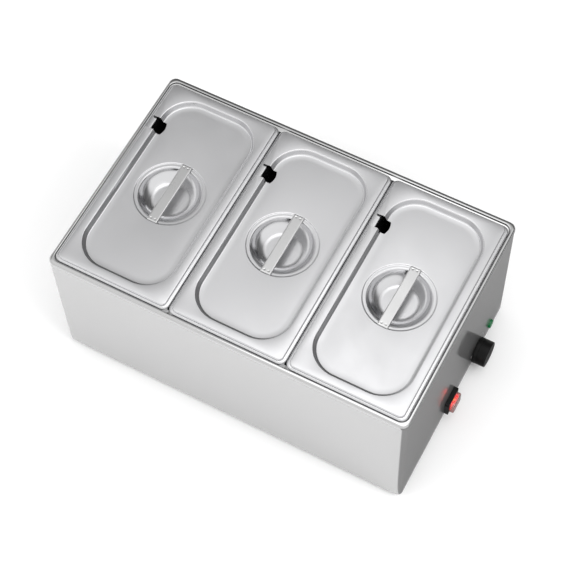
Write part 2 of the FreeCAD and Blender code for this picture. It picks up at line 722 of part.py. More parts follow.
def cut_notch(body, lid_x, pressed):
    """The spoon notch: straight sides from the lid's edge and a bulged inner end."""
    sketch = new_sketch(body, "XY_Plane", 1)
    edge = -lid_x / 2
    end = edge + S.notch_reach
    shoulder = end - S.notch_rise
    low = S.notch_offset - S.notch_width / 2
    high = S.notch_offset + S.notch_width / 2
    points = [(edge - 1, low), (shoulder, low), (shoulder, high), (edge - 1, high)]
    middle = (end.value, S.notch_offset.value)
    draw_outline(sketch, points, [(1, middle, S.notch_end)])
    pocket(body, sketch, pressed + 2)
    place_x = shoulder.value

    def upright(middle, rise):
        near = abs(middle.x - place_x) < 0.5
        beside = abs(abs(middle.y - S.notch_offset.value) - S.notch_width.value / 2) < 0.5
        return near and beside and rise > 0.1

    round_edges(body, S.notch_corner, upright)


def make_strap(name, x, y):
    """The flat strap across the finger cup, with a pair of spot welds at each end."""
    body = new_body(name)
    place(body, x, y, ring_top)
    pad_rounded(body, (S.strap_width, S.strap_length, 1.0), 0, S.strap_thickness)
    round_edges(body, S.strap_edge, level(S.strap_thickness))
    reach = S.strap_length / 2 - S.weld_end
    spots = [(i * S.weld_side, j * reach) for i in (-1, 1) for j in (-1, 1)]
    pocket_circles(body, S.weld_radius, spots, S.strap_thickness, S.weld_depth)


def make_base_plate():
    """The screwed base plate with vent slots."""
    body = new_body("base_plate")
    place(body, 0, 0, S.foot_height)
    plate = grown((housing_x, housing_y, S.base_corner + S.base_inset), -S.base_inset)
    pad_rounded(body, plate, 0, S.base_sheet)
    holes = base_screw_spots() + list(foot_spots().values())
    block_y = wall_y - S.block_inset
    for side in (-1, 1):
        holes.append((S.block_place + side * S.block_screw_spacing / 2, block_y))
    pocket_circles(body, S.screw_radius + S.screw_play, holes, S.base_sheet, S.base_sheet)
    slots = new_sketch(body, "XY_Plane", S.base_sheet)
    for side in (-1, 1):
        for i in range(5):
            x = side * (S.vent_offset - i * S.vent_spacing)
            draw_rounded(slots, S.vent_width, S.vent_length, S.vent_width * 0.49, x)
    pocket(body, slots, S.base_sheet)


def make_feet():
    """Four rubber feet, each with a well for its screw."""
    for name, (x, y) in foot_spots().items():
        body = new_body("foot_" + name)
        place(body, x, y, 0)
        well = S.foot_height - S.foot_web
        bore = S.screw_radius + S.screw_play
        revolve(
            body,
            [
                (bore, S.foot_height),
                (bore, well),
                (S.foot_well, well),
                (S.foot_well, 0),
                (S.foot_bottom, 0),
                (S.foot_top, S.foot_height),
            ],
        )


def screw_template(name, length):
    """A pan-head screw, its head's underside at the origin and its shank along -Z."""
    body = new_body(name, template=True)
    points = [
        (0, -length),
        (S.screw_radius, -length),
        (S.screw_radius, 0),
        (S.screw_head, 0),
        (S.screw_head, 0.5 * S.screw_head_height),
        (0.6 * S.screw_head, S.screw_head_height),
        (0, S.screw_head_height),
    ]
    revolve(body, points)
    return body


def nut_template():
    """A hexagon nut that stands on the origin."""
    prism = doc.addObject("Part::Prism", "nut_hexagon")
    prism.Polygon = 6
    bind(prism, "Circumradius", S.nut_radius)
    bind(prism, "Height", S.nut_height)
    hole = doc.addObject("Part::Cylinder", "nut_hole")
    bind(hole, "Radius", S.screw_radius + S.running_gap)
    bind(hole, "Height", S.nut_height)
    nut = doc.addObject("Part::Cut", "nut_shape")
    nut.Base = prism
    nut.Tool = hole
    return nut


def make_fasteners(nut):
    """Screws of the base plate and feet, with the nuts of the feet."""
    base_screw = screw_template("base_screw_shape", S.base_screw_length)
    spots = [(x, y, S.foot_height) for x, y in base_screw_spots()]
    group("base_plate_screws", base_screw, spots, TO_FLOOR)
    foot_screw = screw_template("foot_screw_shape", S.foot_screw_length)
    spots = [(x, y, S.foot_height - S.foot_web) for x, y in foot_spots().values()]
    group("foot_screws", foot_screw, spots, TO_FLOOR)
    spots = [(x, y, housing_bottom) for x, y in foot_spots().values()]
    group("foot_nuts", nut, spots)


def make_knob():
    """The thermostat knob: hollow back, skirt, tapered grip and a pointer groove."""
    body = new_body("thermostat_knob")
    place(body, wall_x, S.knob_place, control_z, TO_RIGHT)
    skirt_top = S.knob_gap + S.knob_skirt
    cavity = S.knob_gap + S.knob_cavity_depth
    bore = S.spindle_radius + S.running_gap
    seat = S.spindle_reach + 0.2
    points = [
        (0, seat),
        (bore, seat),
        (bore, S.knob_gap),
        (S.knob_hub, S.knob_gap),
        (S.knob_hub, cavity),
        (S.knob_cavity - 0.6, cavity),
        (S.knob_cavity, S.knob_gap),
        (S.knob_radius, S.knob_gap),
        (S.knob_radius, skirt_top),
        (S.knob_grip_radius, skirt_top),
        (S.knob_front_radius, S.knob_reach),
        (0, S.knob_reach),
    ]
    revolve(body, points)
    round_edges(body, S.knob_edge, level(S.knob_reach))
    sketch = new_sketch(body, "XY_Plane", S.knob_reach)
    reach = S.knob_front_radius - S.knob_edge - S.pointer_length / 2
    draw_rounded(sketch, S.pointer_length, S.pointer_width, 0.4 * S.pointer_width, -reach)
    pocket(body, sketch, S.pointer_depth)


def cylinder(name, radius, height, spot, turn=None):
    """A plain round node."""
    thing = doc.addObject("Part::Cylinder", name)
    bind(thing, "Radius", radius)
    bind(thing, "Height", height)
    place(thing, *spot, turn)
    return node(thing, name)


def make_thermostat():
    """The capillary thermostat behind the wall, its spindle and its two screws."""
    body = new_body("thermostat_body")
    place(body, wall_x, S.knob_place, control_z, TO_RIGHT)
    width = S.thermostat_width
    back = S.housing_sheet + S.thermostat_depth
    pad_rounded(body, (width, width, 2.0), -back, S.thermostat_depth)
    bush = new_sketch(body, "XY_Plane", -S.housing_sheet - 1)
    draw_circle(bush, S.bush_radius)
    pad(body, bush, S.housing_sheet + 1)
    bore = S.spindle_radius + S.running_gap
    pocket_circles(body, bore, [(0, 0)], 0, S.spindle_tail + 0.2)
    spots = [(0, side * S.thermostat_screws) for side in (-1, 1)]
    deep = S.thermostat_screw_length
    pocket_circles(body, S.screw_radius + S.running_gap, spots, -S.housing_sheet, deep)
    spindle = S.spindle_reach + S.spindle_tail
    spot = (wall_x - S.spindle_tail, S.knob_place, control_z)
    cylinder("thermostat_spindle", S.spindle_radius, spindle, spot, TO_RIGHT)
    screw = screw_template("thermostat_screw_shape", S.thermostat_screw_length)
    spots = [(wall_x, S.knob_place + y, control_z) for x, y in spots]
    group("thermostat_screws", screw, spots, TO_RIGHT)


def make_lamp():
    """The green signal lamp: a lens in the wall and its body behind."""
    lens = new_body("lamp_lens")
    place(lens, wall_x, S.lamp_place, control_z, TO_RIGHT)
    sketch = new_sketch(lens, "XY_Plane")
    draw_circle(sketch, S.lens_radius)
    pad(lens, sketch, S.lens_reach)
    round_edges(lens, S.lens_edge, level(S.lens_reach))
    stem = new_sketch(lens, "XY_Plane")
    draw_circle(stem, S.stem_radius)
    pad(lens, stem, S.stem_length, back=True)
    body = new_body("lamp_body")
    place(body, wall_x, S.lamp_place, control_z, TO_RIGHT)
    case = new_sketch(body, "XY_Plane", -S.housing_sheet)
    draw_circle(case, S.lamp_radius)
    pad(body, case, S.lamp_depth, back=True)
    well = S.stem_length - S.housing_sheet + 0.2
    pocket_circles(body, S.stem_radius + S.stem_gap, [(0, 0)], -S.housing_sheet, well)


def make_switch():
    """The lit rocker switch: bezel and body, rocker on its pivot pin, and splash cover."""
    body = new_body("switch_housing")
    place(body, wall_x, S.switch_place, control_z, TO_RIGHT)
    pad_rounded(body, (S.bezel_height, S.bezel_width, S.bezel_corner), 0, S.bezel_reach)
    round_edges(body, S.bezel_edge, level(S.bezel_reach))
    pad_rounded(body, (S.switch_height, S.switch_width, 0.5), 0, S.switch_depth, back=True)
    window = (
        S.rocker_width + 2 * S.rocker_gap,
        2 * (S.rocker_radius + S.rocker_gap),
        0.5,
    )
    pocket_rounded(body, window, S.bezel_reach, S.bezel_reach + S.window_depth)
    pins = new_sketch(body, "YZ_Plane")
    draw_circle(pins, S.pivot_radius + S.running_gap, 0, S.pivot_reach)
    pocket(body, pins, S.pivot_length + 0.4, both=True)

    rocker = new_body("switch_rocker")
    tilted = Rotation(Vector(0, 0, -1), S.rocker_tilt.value)
    place(rocker, wall_x + S.pivot_reach, S.switch_place, control_z, tilted)
    bind(rocker, "Placement.Rotation.Angle", S.rocker_tilt)
    disc = new_sketch(rocker, "XY_Plane")
    draw_circle(disc, S.rocker_radius)
    pad(rocker, disc, S.rocker_width, both=True)
    radius = S.rocker_radius
    above = new_sketch(rocker, "XY_Plane")
    high = S.rocker_middle + S.rocker_slope
    points = [
        (high, -radius),
        (radius, -radius),
        (radius, radius),
        (high, radius),
        (S.rocker_middle, 0),
    ]
    draw_outline(above, points)
    pocket(rocker, above, S.rocker_width + 1, both=True)
    below = new_sketch(rocker, "XY_Plane")
    low = -S.rocker_floor
    points = [(low, -radius), (low, radius), (-radius, radius), (-radius, -radius)]
    draw_outline(below, points)
    pocket(rocker, below, S.rocker_width + 1, both=True)
    pin = new_sketch(rocker, "XY_Plane")
    draw_circle(pin, S.pivot_radius)
    pad(rocker, pin, S.pivot_length, both=True)

    cover = new_body("switch_cover")
    place(cover, wall_x + S.bezel_reach, S.switch_place, control_z, TO_RIGHT)
    outer = (S.cover_height, S.cover_width, S.cover_corner)
    pad_rounded(cover, outer, 0, S.cover_reach)
    round_edges(cover, S.cover_edge, level(S.cover_reach))
    inner = grown(outer, -S.cover_wall)
    pocket_rounded(cover, inner, 0, S.cover_reach - S.cover_wall, back=True)


def make_element():
    """The tubular heater under the tank, its beads, clamp bars, weld studs and nuts."""
    body = new_body("heating_element")
    place(body, 0, 0, tank_bottom - S.element_radius)
    bend_x = mouth_x / 2 - S.element_margin
    pitch = S.element_pitch
    end_x = bend_x + S.element_tail
    rows = [-1.5 * pitch, -0.5 * pitch, 0.5 * pitch, 1.5 * pitch]
    points = [
        (end_x, rows[0]),
        (-bend_x, rows[0]),
        (-bend_x, rows[1]),
        (bend_x, rows[1]),
        (bend_x, rows[2]),
        (-bend_x, rows[2]),
        (-bend_x, rows[3]),
        (end_x, rows[3]),
    ]
    apex = (bend_x + pitch / 2).value
    step = pitch.value
    arcs = [
        (1, (-apex, -step), "before"),
        (3, (apex, 0), "before"),
        (5, (-apex, step), "before"),
    ]
    path = new_sketch(body, "XY_Plane")
    draw_outline(path, points, arcs, closed=False)
    profile = new_sketch(body, "YZ_Plane", end_x)
    draw_circle(profile, S.element_radius, rows[0])
    pipe = body.newObject("PartDesign::AdditivePipe", "heating_element_pipe")
    pipe.Profile = profile
    pipe.Spine = (path, [])

    bead = doc.addObject("Part::Cylinder", "bead_shape")
    bind(bead, "Radius", S.bead_radius)
    bind(bead, "Height", S.bead_length)
    row_z = tank_bottom - S.element_radius
    spots = [(end_x, row, row_z) for row in (rows[0], rows[3])]
    group("element_beads", bead, spots, TO_RIGHT)
    return [(end_x + S.bead_length, row, row_z, TO_RIGHT) for row in (rows[0], rows[3])]


def clamp_studs():
    """Studs of the clamp bars, from the housing's middle."""
    reach = S.stud_spacing / 2
    return [(i * S.clamp_spacing, side * reach) for i in (-1, 0, 1) for side in (-1, 1)]


def make_clamps(nut):
    """What holds the heater, the bulb and the limiter to the tank's underside."""
    bar = new_body("clamp_bar_shape", template=True)
    thick = S.clamp_thickness
    pad_rounded(bar, (S.clamp_width, S.clamp_length, 2.0), 0, thick, back=True)
    reach = S.stud_spacing / 2
    spots = [(0, side * reach) for side in (-1, 1)]
    pocket_circles(bar, S.screw_radius + S.screw_play, spots, 0, thick)
    bar_top = tank_bottom - 2 * S.element_radius
    places = [(i * S.clamp_spacing, 0, bar_top) for i in (-1, 0, 1)]
    group("element_clamps", bar, places)

    bulb_x = S.bulb_end - S.bulb_length / 2
    clip_studs = [(bulb_x, side * S.bulb_clip_studs / 2) for side in (-1, 1)]
    limiter_studs = [(S.limiter_place + side * S.limiter_holes / 2, 0) for side in (-1, 1)]
    stud = doc.addObject("Part::Cylinder", "stud_shape")
    bind(stud, "Radius", S.screw_radius)
    bind(stud, "Height", S.stud_length)
    stud_z = tank_bottom - S.stud_length
    spots = clamp_studs() + clip_studs + limiter_studs
    group("weld_studs", stud, [(x, y, stud_z) for x, y in spots])
    low = bar_top - thick - S.nut_height
    high = tank_bottom - S.clip_sheet - S.nut_height
    spots = [(x, y, low) for x, y in clamp_studs()]
    spots += [(x, y, high) for x, y in clip_studs + limiter_studs]
    group("stud_nuts", nut, spots)

    clip = new_body("bulb_clip")
    place(clip, bulb_x, 0, tank_bottom)
    foot = S.bulb_clip_length / 2
    r, t = S.bulb_radius, S.clip_sheet
    sketch = new_sketch(clip, "YZ_Plane")
    points = [
        (-foot, 0),
        (-foot, -t),
        (-r - t, -t),
        (-r - t, -2 * r - t),
        (r + t, -2 * r - t),
        (r + t, -t),
        (foot, -t),
        (foot, 0),
        (r, 0),
        (r, -2 * r),
        (-r, -2 * r),
        (-r, 0),
    ]
    draw_outline(sketch, points)
    pad(clip, sketch, S.bulb_clip_width, both=True)
    spots = [(0, side * S.bulb_clip_studs / 2) for side in (-1, 1)]
    pocket_circles(clip, S.screw_radius + S.screw_play, spots, 0, t)

    limiter = new_body("overheat_limiter")
    place(limiter, S.limiter_place, 0, tank_bottom)
    flange = (S.limiter_flange, S.limiter_flange_width, 3.0)
    pad_rounded(limiter, flange, 0, t, back=True)
    cap = new_sketch(limiter, "XY_Plane")
    draw_circle(cap, S.limiter_radius)
    pad(limiter, cap, S.limiter_height, back=True)
    spots = [(side * S.limiter_holes / 2, 0) for side in (-1, 1)]
    pocket_circles(limiter, S.screw_radius + S.screw_play, spots, 0, t)


def bent_tube(radius, points, bend):
    """A round tube along straight runs joined by arcs of one radius."""
    offset = Vector(middle_x.value, middle_y.value, 0)
    spots = [Vector(*[as_size(n).value for n in point]) + offset for point in points]
    edges = []
    start = spots[0]
    for i in range(1, len(spots) - 1):
        back = (spots[i - 1] - spots[i]).normalize()
        ahead = (spots[i + 1] - spots[i]).normalize()
        half = back.getAngle(ahead) / 2
        first = spots[i] + back * (bend / math.tan(half))
        last = spots[i] + ahead * (bend / math.tan(half))
        inward = (back + ahead).normalize()
        middle = spots[i] + inward * (bend / math.sin(half) - bend)
        edges.append(Part.LineSegment(start, first).toShape())
        edges.append(Part.Arc(first, middle, last).toShape())
        start = last
    edges.append(Part.LineSegment(start, spots[-1]).toShape())
    circle = Part.Wire([Part.makeCircle(radius, spots[0], spots[1] - spots[0])])
    return Part.Wire(edges).makePipeShell([circle], True, True)


def tube_node(name, radius, runs, bend):
    """A node of one or more bent tubes."""
    tubes = [bent_tube(radius.value, points, bend) for points in runs]
    thing = doc.addObject("Part::Feature", name)
    thing.Shape = tubes[0] if len(tubes) == 1 else Part.makeCompound(tubes)
    return node(thing, name)


def make_bulb():
    """The thermostat's bulb under the tank and the thin tube to its case."""
    z = tank_bottom - S.bulb_radius
    spot = (S.bulb_end - S.bulb_length, 0, z)
    cylinder("thermostat_bulb", S.bulb_radius, S.bulb_length, spot, TO_RIGHT)
    back = wall_in_x - S.thermostat_depth
    side = S.knob_place - 15
    high = control_z + 17
    low = tank_bottom - 20
    run = [
        (back, side, high),
        (back - 40, side, high),
        (back - 95, 0, low),
        (S.bulb_end + 25, 0, low),
        (S.bulb_end + 12, 0, z),
        (S.bulb_end, 0, z),
    ]
    tube_node("capillary_tube", S.capillary_radius, [run], 5.0)


def make_inlet(nut):
    """The cable gland and earth screw in the rear wall, and the terminal block."""
    gland = new_body("cable_gland")
    place(gland, S.gland_place, wall_y, control_z, TO_REAR)
    thread_end = 0.65 * S.gland_reach
    points = [
        (S.gland_bore, -S.gland_tail),
        (S.gland_thread, -S.gland_tail),
        (S.gland_thread, thread_end),
        (S.gland_bore, thread_end),
    ]
    revolve(gland, points)
    hexagon = new_sketch(gland, "XY_Plane")
    draw_hexagon(hexagon, S.gland_hex)
    draw_circle(hexagon, S.gland_thread - 0.5)
    pad(gland, hexagon, S.gland_flange)

    cap = new_body("gland_cap")
    place(cap, S.gland_place, wall_y, control_z, TO_REAR)
    bore = S.gland_thread + S.running_gap
    points = [
        (bore, S.gland_flange),
        (S.gland_cap_radius, S.gland_flange),
        (S.gland_cap_radius, 0.72 * S.gland_reach),
        (S.gland_cap_mouth, S.gland_reach),
        (S.gland_bore, S.gland_reach),
        (S.gland_bore, thread_end + 0.2),
        (bore, thread_end + 0.2),
    ]
    revolve(cap, points)

    gland_nut = new_body("gland_nut")
    place(gland_nut, S.gland_place, wall_y, control_z, TO_REAR)
    sketch = new_sketch(gland_nut, "XY_Plane", -S.housing_sheet)
    draw_hexagon(sketch, S.gland_hex)
    draw_circle(sketch, bore)
    pad(gland_nut, sketch, S.gland_flange, back=True)

    screw = screw_template("earth_screw_shape", S.earth_length)
    group("earth_screw", screw, [(S.earth_place, wall_y, control_z)], TO_REAR)
    inside = wall_y - S.housing_sheet
    group("earth_nut", nut, [(S.earth_place, inside, control_z)], TO_FRONT)

    block = new_body("terminal_block")
    block_y = wall_y - S.block_inset
    place(block, S.block_place, block_y, housing_bottom)
    pad_rounded(block, (S.block_length, S.block_width, 1.5), 0, S.block_height)
    wells = [(side * S.block_screw_spacing / 2, 0) for side in (-1, 1)]
    deep = S.block_height - S.block_ear
    pocket_circles(block, S.screw_head + 0.3, wells, S.block_height, deep)
    pocket_circles(block, S.screw_radius + S.screw_play, wells, S.block_ear, S.block_ear)
    tunnels = new_sketch(block, "XZ_Plane")
    for i in (-1, 0, 1):
        draw_circle(tunnels, S.block_hole, i * S.block_hole_spacing, S.block_hole_height)
    pocket(block, tunnels, S.block_width + 2, both=True)
    screw = screw_template("block_screw_shape", S.block_screw_length)
    spots = [(S.block_place + x, block_y, housing_bottom + S.block_ear) for x, y in wells]
    group("terminal_block_screws", screw, spots)


def draw_hexagon(sketch, radius):
    points = []
    for i in range(6):
        angle = math.radians(60 * i)
        points.append((radius * math.cos(angle), radius * math.sin(angle)))
    draw_outline(sketch, points)


def make_wiring(heater_tabs):
    """Spade tabs on every electrical piece and the wires between them."""
    tab = new_body("spade_tab_shape", template=True)
    pad_rounded(tab, (S.tab_width, S.tab_thickness, 0.1), 0, S.tab_length)
    switch_x = wall_x - S.switch_depth
    left, right = S.switch_place - 5, S.switch_place + 5
    low, high = control_z - 6, control_z + 6
    spots = [(switch_x, y, z, TO_LEFT) for y in (left, right) for z in (low, high)]
    stat_x = wall_in_x - S.thermostat_depth
    stat_y = [S.knob_place - 8, S.knob_place + 8]
    stat_z = control_z + 10
    spots += [(stat_x, y, stat_z, TO_LEFT) for y in stat_y]
    lamp_x = wall_in_x - S.lamp_depth
    spots += [(lamp_x, S.lamp_place + side * 2.5, control_z, TO_LEFT) for side in (-1, 1)]
    group("spade_tabs", tab, spots + heater_tabs)

    switch_end = switch_x - S.tab_length
    stat_end = stat_x - S.tab_length
    heater_x, front_y, heater_z, turn = heater_tabs[0]
    rear_y = heater_tabs[1][1]
    heater_end = heater_x + S.tab_length
    block_front = wall_y - S.block_inset - S.block_width / 2
    block_rear = block_front + S.block_width
    block_z = housing_bottom + S.block_hole_height
    block_x = [S.block_place + i * S.block_hole_spacing for i in (-1, 0, 1)]

    def heater_run(start, y, beyond):
        """From a tab's end, round the outside of the case and back on to a heater tab."""
        x, start_y, z = start
        return [
            (x, start_y, z),
            (x - 18, start_y, z),
            (x - 18, beyond, heater_z - 18),
            (heater_end + 16, beyond, heater_z - 9),
            (heater_end + 16, y, heater_z),
            (heater_end, y, heater_z),
        ]

    to_switch = [
        (block_x[0], block_front, block_z),
        (block_x[0], left, block_z),
        (switch_end - 36, left, low),
        (switch_end, left, low),
    ]
    to_thermostat = [
        (switch_end, right, high),
        (switch_end - 22, right, high),
        (switch_end - 22, stat_y[0], stat_z),
        (stat_end, stat_y[0], stat_z),
    ]
    to_heater = heater_run((stat_end, stat_y[1], stat_z), rear_y, rear_y + 14)
    tube_node("wires_brown", S.wire_radius, [to_switch, to_thermostat, to_heater], 4.0)
    to_switch = [
        (block_x[1], block_front, block_z),
        (block_x[1], right, block_z),
        (switch_end - 36, right, low),
        (switch_end, right, low),
    ]
    to_heater = heater_run((switch_end, left, high), front_y, front_y - 14)
    tube_node("wires_blue", S.wire_radius, [to_switch, to_heater], 4.0)
    earth_end = wall_y - S.earth_length
    to_earth = [
        (block_x[2], block_rear, block_z),
        (block_x[2], earth_end - 9, block_z + 4),
        (S.earth_place, earth_end - 9, control_z),
        (S.earth_place, earth_end, control_z),
    ]
    tube_node("wire_earth", S.wire_radius, [to_earth], 4.0)


def check_and_write():
    """Stops on any broken feature or cut that removed nothing; then writes the STEP files."""
    doc.recompute()
    for thing in doc.Objects:
        if "Invalid" in thing.State or "Error" in thing.State:
            raise ValueError("broken feature: " + thing.Name)
        if thing.TypeId == "PartDesign::Pocket":
            before = thing.BaseFeature.Shape.Volume
            if thing.Shape.Volume > before - 0.01:
                raise ValueError("a cut removed nothing: " + thing.Name)
    os.makedirs("parts", exist_ok=True)
    for thing in nodes:
        shape = thing.Shape
        if shape.isNull() or not shape.isValid() or not shape.Solids:
            raise ValueError("bad shape: " + thing.Label)
        if thing.TypeId == "PartDesign::Body" and len(shape.Solids) != 1:
            raise ValueError("more than one solid: " + thing.Label)
        shape.exportStep("parts/%s.step" % thing.Label)


def main():
    make_housing()
    make_tank()
    for side, name in ((-1, "left"), (0, "middle"), (1, "right")):
        x = S.pan_shift_x + side * pan_pitch
        y = S.pan_shift_y
        make_pan("pan_" + name, x, y)
        make_lid("lid_" + name, x, y)
        make_strap("lid_handle_" + name, x, y)
    make_base_plate()
    make_feet()
    nut = nut_template()
    make_fasteners(nut)
    make_knob()
    make_thermostat()
    make_lamp()
    make_switch()
    heater_tabs = make_element()
    make_clamps(nut)
    make_bulb()
    make_inlet(nut)
    make_wiring(heater_tabs)
    check_and_write()


main()
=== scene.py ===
import json
import math

import bmesh
import bpy
from mathutils import Matrix, Vector


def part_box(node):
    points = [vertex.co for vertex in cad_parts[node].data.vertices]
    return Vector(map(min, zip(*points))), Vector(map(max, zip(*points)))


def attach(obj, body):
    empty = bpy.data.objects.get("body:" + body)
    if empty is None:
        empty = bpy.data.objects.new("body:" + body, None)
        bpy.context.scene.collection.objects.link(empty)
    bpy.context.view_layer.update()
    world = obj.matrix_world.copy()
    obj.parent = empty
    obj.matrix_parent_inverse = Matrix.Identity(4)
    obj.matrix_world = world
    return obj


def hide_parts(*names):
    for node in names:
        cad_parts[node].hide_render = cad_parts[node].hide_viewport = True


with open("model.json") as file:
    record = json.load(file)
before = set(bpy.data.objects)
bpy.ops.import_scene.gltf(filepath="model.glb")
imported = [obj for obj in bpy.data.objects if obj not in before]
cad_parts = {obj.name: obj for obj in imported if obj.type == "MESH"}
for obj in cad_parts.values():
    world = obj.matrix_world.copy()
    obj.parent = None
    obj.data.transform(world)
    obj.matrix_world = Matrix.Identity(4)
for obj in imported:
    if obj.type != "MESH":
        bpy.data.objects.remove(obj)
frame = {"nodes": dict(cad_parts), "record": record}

bl_info = {
    "name": "Countertop steam table",
    "version": (1, 0, 0),
    "blender": (4, 5, 0),
    "location": "View3D > Sidebar > Steam table",
    "description": "Builds the looks of a three-pan countertop steam table",
    "category": "Object",
}

MM = 0.001
SIDES = ("left", "middle", "right")
TO_RIGHT = Matrix.Rotation(math.pi / 2, 3, "Y")
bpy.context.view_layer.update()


# Settings


class STEAM_PG_sheet(bpy.types.PropertyGroup):
    steel: bpy.props.FloatVectorProperty(
        name="Steel colour",
        description="Colour of the housing's and tank's stainless sheet",
        subtype="COLOR",
        size=3,
        default=(0.52, 0.52, 0.52),
        min=0.0,
        max=1.0,
    )
    roughness: bpy.props.FloatProperty(
        name="Roughness",
        description="How blurred the housing's reflections are",
        default=0.085,
        min=0.05,
        max=0.8,
    )
    waviness: bpy.props.FloatProperty(
        name="Waviness",
        description="Depth of the slow waves of thin sheet",
        default=0.04,
        min=0.0,
        max=2.0,
    )


class STEAM_PG_lids(bpy.types.PropertyGroup):
    steel: bpy.props.FloatVectorProperty(
        name="Steel colour",
        description="Colour of the lids' stainless sheet",
        subtype="COLOR",
        size=3,
        default=(0.63, 0.63, 0.64),
        min=0.0,
        max=1.0,
    )
    roughness: bpy.props.FloatProperty(
        name="Roughness",
        description="How blurred the lids' reflections are",
        default=0.34,
        min=0.05,
        max=0.8,
    )
    strap_skew: bpy.props.FloatProperty(
        name="Strap skew",
        description="How far the right lid's strap is turned from straight",
        default=math.radians(0.9),
        subtype="ANGLE",
        unit="ROTATION",
    )


class STEAM_PG_controls(bpy.types.PropertyGroup):
    knob: bpy.props.FloatVectorProperty(
        name="Knob colour",
        description="Colour of the black mouldings",
        subtype="COLOR",
        size=3,
        default=(0.005, 0.005, 0.005),
        min=0.0,
        max=1.0,
    )
    glow: bpy.props.FloatProperty(
        name="Glow",
        description="Strength of the lamp inside the rocker",
        default=0.55,
        min=0.0,
        max=20.0,
    )
    scale_radius: bpy.props.FloatProperty(
        name="Scale radius",
        description="Middle radius of the printed arc round the knob",
        default=0.0255,
        subtype="DISTANCE",
        unit="LENGTH",
        min=0.02,
        max=0.04,
    )


class STEAM_PG_stage(bpy.types.PropertyGroup):
    floor: bpy.props.FloatVectorProperty(
        name="Floor colour",
        description="Colour of the plain floor",
        subtype="COLOR",
        size=3,
        default=(0.93, 0.93, 0.93),
        min=0.0,
        max=1.0,
    )
    top_light: bpy.props.FloatProperty(
        name="Top light",
        description="Power of the soft box above",
        default=5.0,
        min=0.0,
        subtype="POWER",
        unit="POWER",
    )
    key_light: bpy.props.FloatProperty(
        name="Key light",
        description="Power of the soft box at the front left",
        default=20.0,
        min=0.0,
        subtype="POWER",
        unit="POWER",
    )
    fill_light: bpy.props.FloatProperty(
        name="Fill light",
        description="Power of the soft box at the right",
        default=30.0,
        min=0.0,
        subtype="POWER",
        unit="POWER",
    )
    surround: bpy.props.FloatProperty(
        name="Surround",
        description="Strength of the light from the ceiling",
        default=1.15,
        min=0.0,
    )


# Meshes from loops of points, in millimetres

WELD_DISTANCE = 1e-7


def rounded_path(points, steps=5):
    """Points are (half x, half y, corner, height, bend). Each point with a bend becomes an
    arc in the section; half x, half y and corner grow or shrink together along it."""
    path = []
    last = len(points) - 1
    for i, (hx, hy, corner, z, bend) in enumerate(points):
        if not bend or i in (0, last):
            path.append((hx, hy, corner, z))
            continue
        here = Vector((hx, z))
        back = (Vector((points[i - 1][0], points[i - 1][3])) - here).normalized()
        ahead = (Vector((points[i + 1][0], points[i + 1][3])) - here).normalized()
        half = back.angle(ahead) / 2
        reach = bend / math.tan(half)
        centre = here + (back + ahead).normalized() * (bend / math.sin(half))
        start = here + back * reach - centre
        turn = start.angle_signed(here + ahead * reach - centre)
        for step in range(steps + 1):
            angle = -turn * step / steps
            spot = centre + Matrix.Rotation(angle, 2) @ start
            shift = spot.x - hx
            path.append((hx + shift, hy + shift, max(corner + shift, 0.2), spot.y))
    return path


def rect_loop(hx, hy, corner, z, sides=(10, 10), turns=10):
    """A rounded rectangle as a list of points, anticlockwise from the right side's start."""
    corner = min(corner, hx, hy)
    points = []
    centres = [(hx - corner, hy - corner), (corner - hx, hy - corner)]
    centres += [(corner - hx, corner - hy), (hx - corner, corner - hy)]
    start = Vector((hx, corner - hy, 0))
    for i, (cx, cy) in enumerate(centres):
        first = math.pi / 2 * i
        count = sides[i % 2]
        entry = Vector((cx + corner * math.cos(first), cy + corner * math.sin(first), 0))
        for step in range(count):
            spot = start.lerp(entry, step / count)
            points.append(Vector((spot.x, spot.y, z)))
        for step in range(turns):
            angle = first + math.pi / 2 * step / turns
            x, y = cx + corner * math.cos(angle), cy + corner * math.sin(angle)
            points.append(Vector((x, y, z)))
        end = first + math.pi / 2
        start = Vector((cx + corner * math.cos(end), cy + corner * math.sin(end), 0))
    return points


def round_loop(radius, z, directions):
    """A circle with one point in the direction of each point of another loop."""
    points = []
    for point in directions:
        angle = math.atan2(point.y, point.x)
        points.append(Vector((radius * math.cos(angle), radius * math.sin(angle), z)))
    return points


def circle_loop(radius, z, count):
    """A circle as a list of points."""
    points = []
    for i in range(count):
        angle = i * 2 * math.pi / count
        points.append(Vector((radius * math.cos(angle), radius * math.sin(angle), z)))
    return points


def mesh_from_loops(name, loops, cap_last=True, cap_first=False):
    """Skins loops of equal length and closes the ends with fans."""
    mesh = bpy.data.meshes.new(name)
    bm = bmesh.new()
    rings = [[bm.verts.new(point * MM) for point in loop] for loop in loops]
    count = len(rings[0])
    for low, high in zip(rings, rings[1:]):
        for i in range(count):
            after = (i + 1) % count
            bm.faces.new((low[i], low[after], high[after], high[i]))
    for wanted, ring, flip in ((cap_last, rings[-1], False), (cap_first, rings[0], True)):
        if not wanted:
            continue
        middle = bm.verts.new(sum((v.co for v in ring), Vector()) / count)
        for i in range(count):
            after = (i + 1) % count
            corners = (ring[i], ring[after], middle)
            bm.faces.new(corners[::-1] if flip else corners)
    return finish_mesh(name, mesh, bm)


def smooth(bm, mesh, sharp):
    """Smooth shading with edges over an angle left sharp, written to the mesh."""
    bm.normal_update()
    limit = math.radians(sharp)
    for face in bm.faces:
        face.smooth = True
    for edge in bm.edges:
        edge.smooth = len(edge.link_faces) != 2 or edge.calc_face_angle(0) < limit
    bm.to_mesh(mesh)
    bm.free()


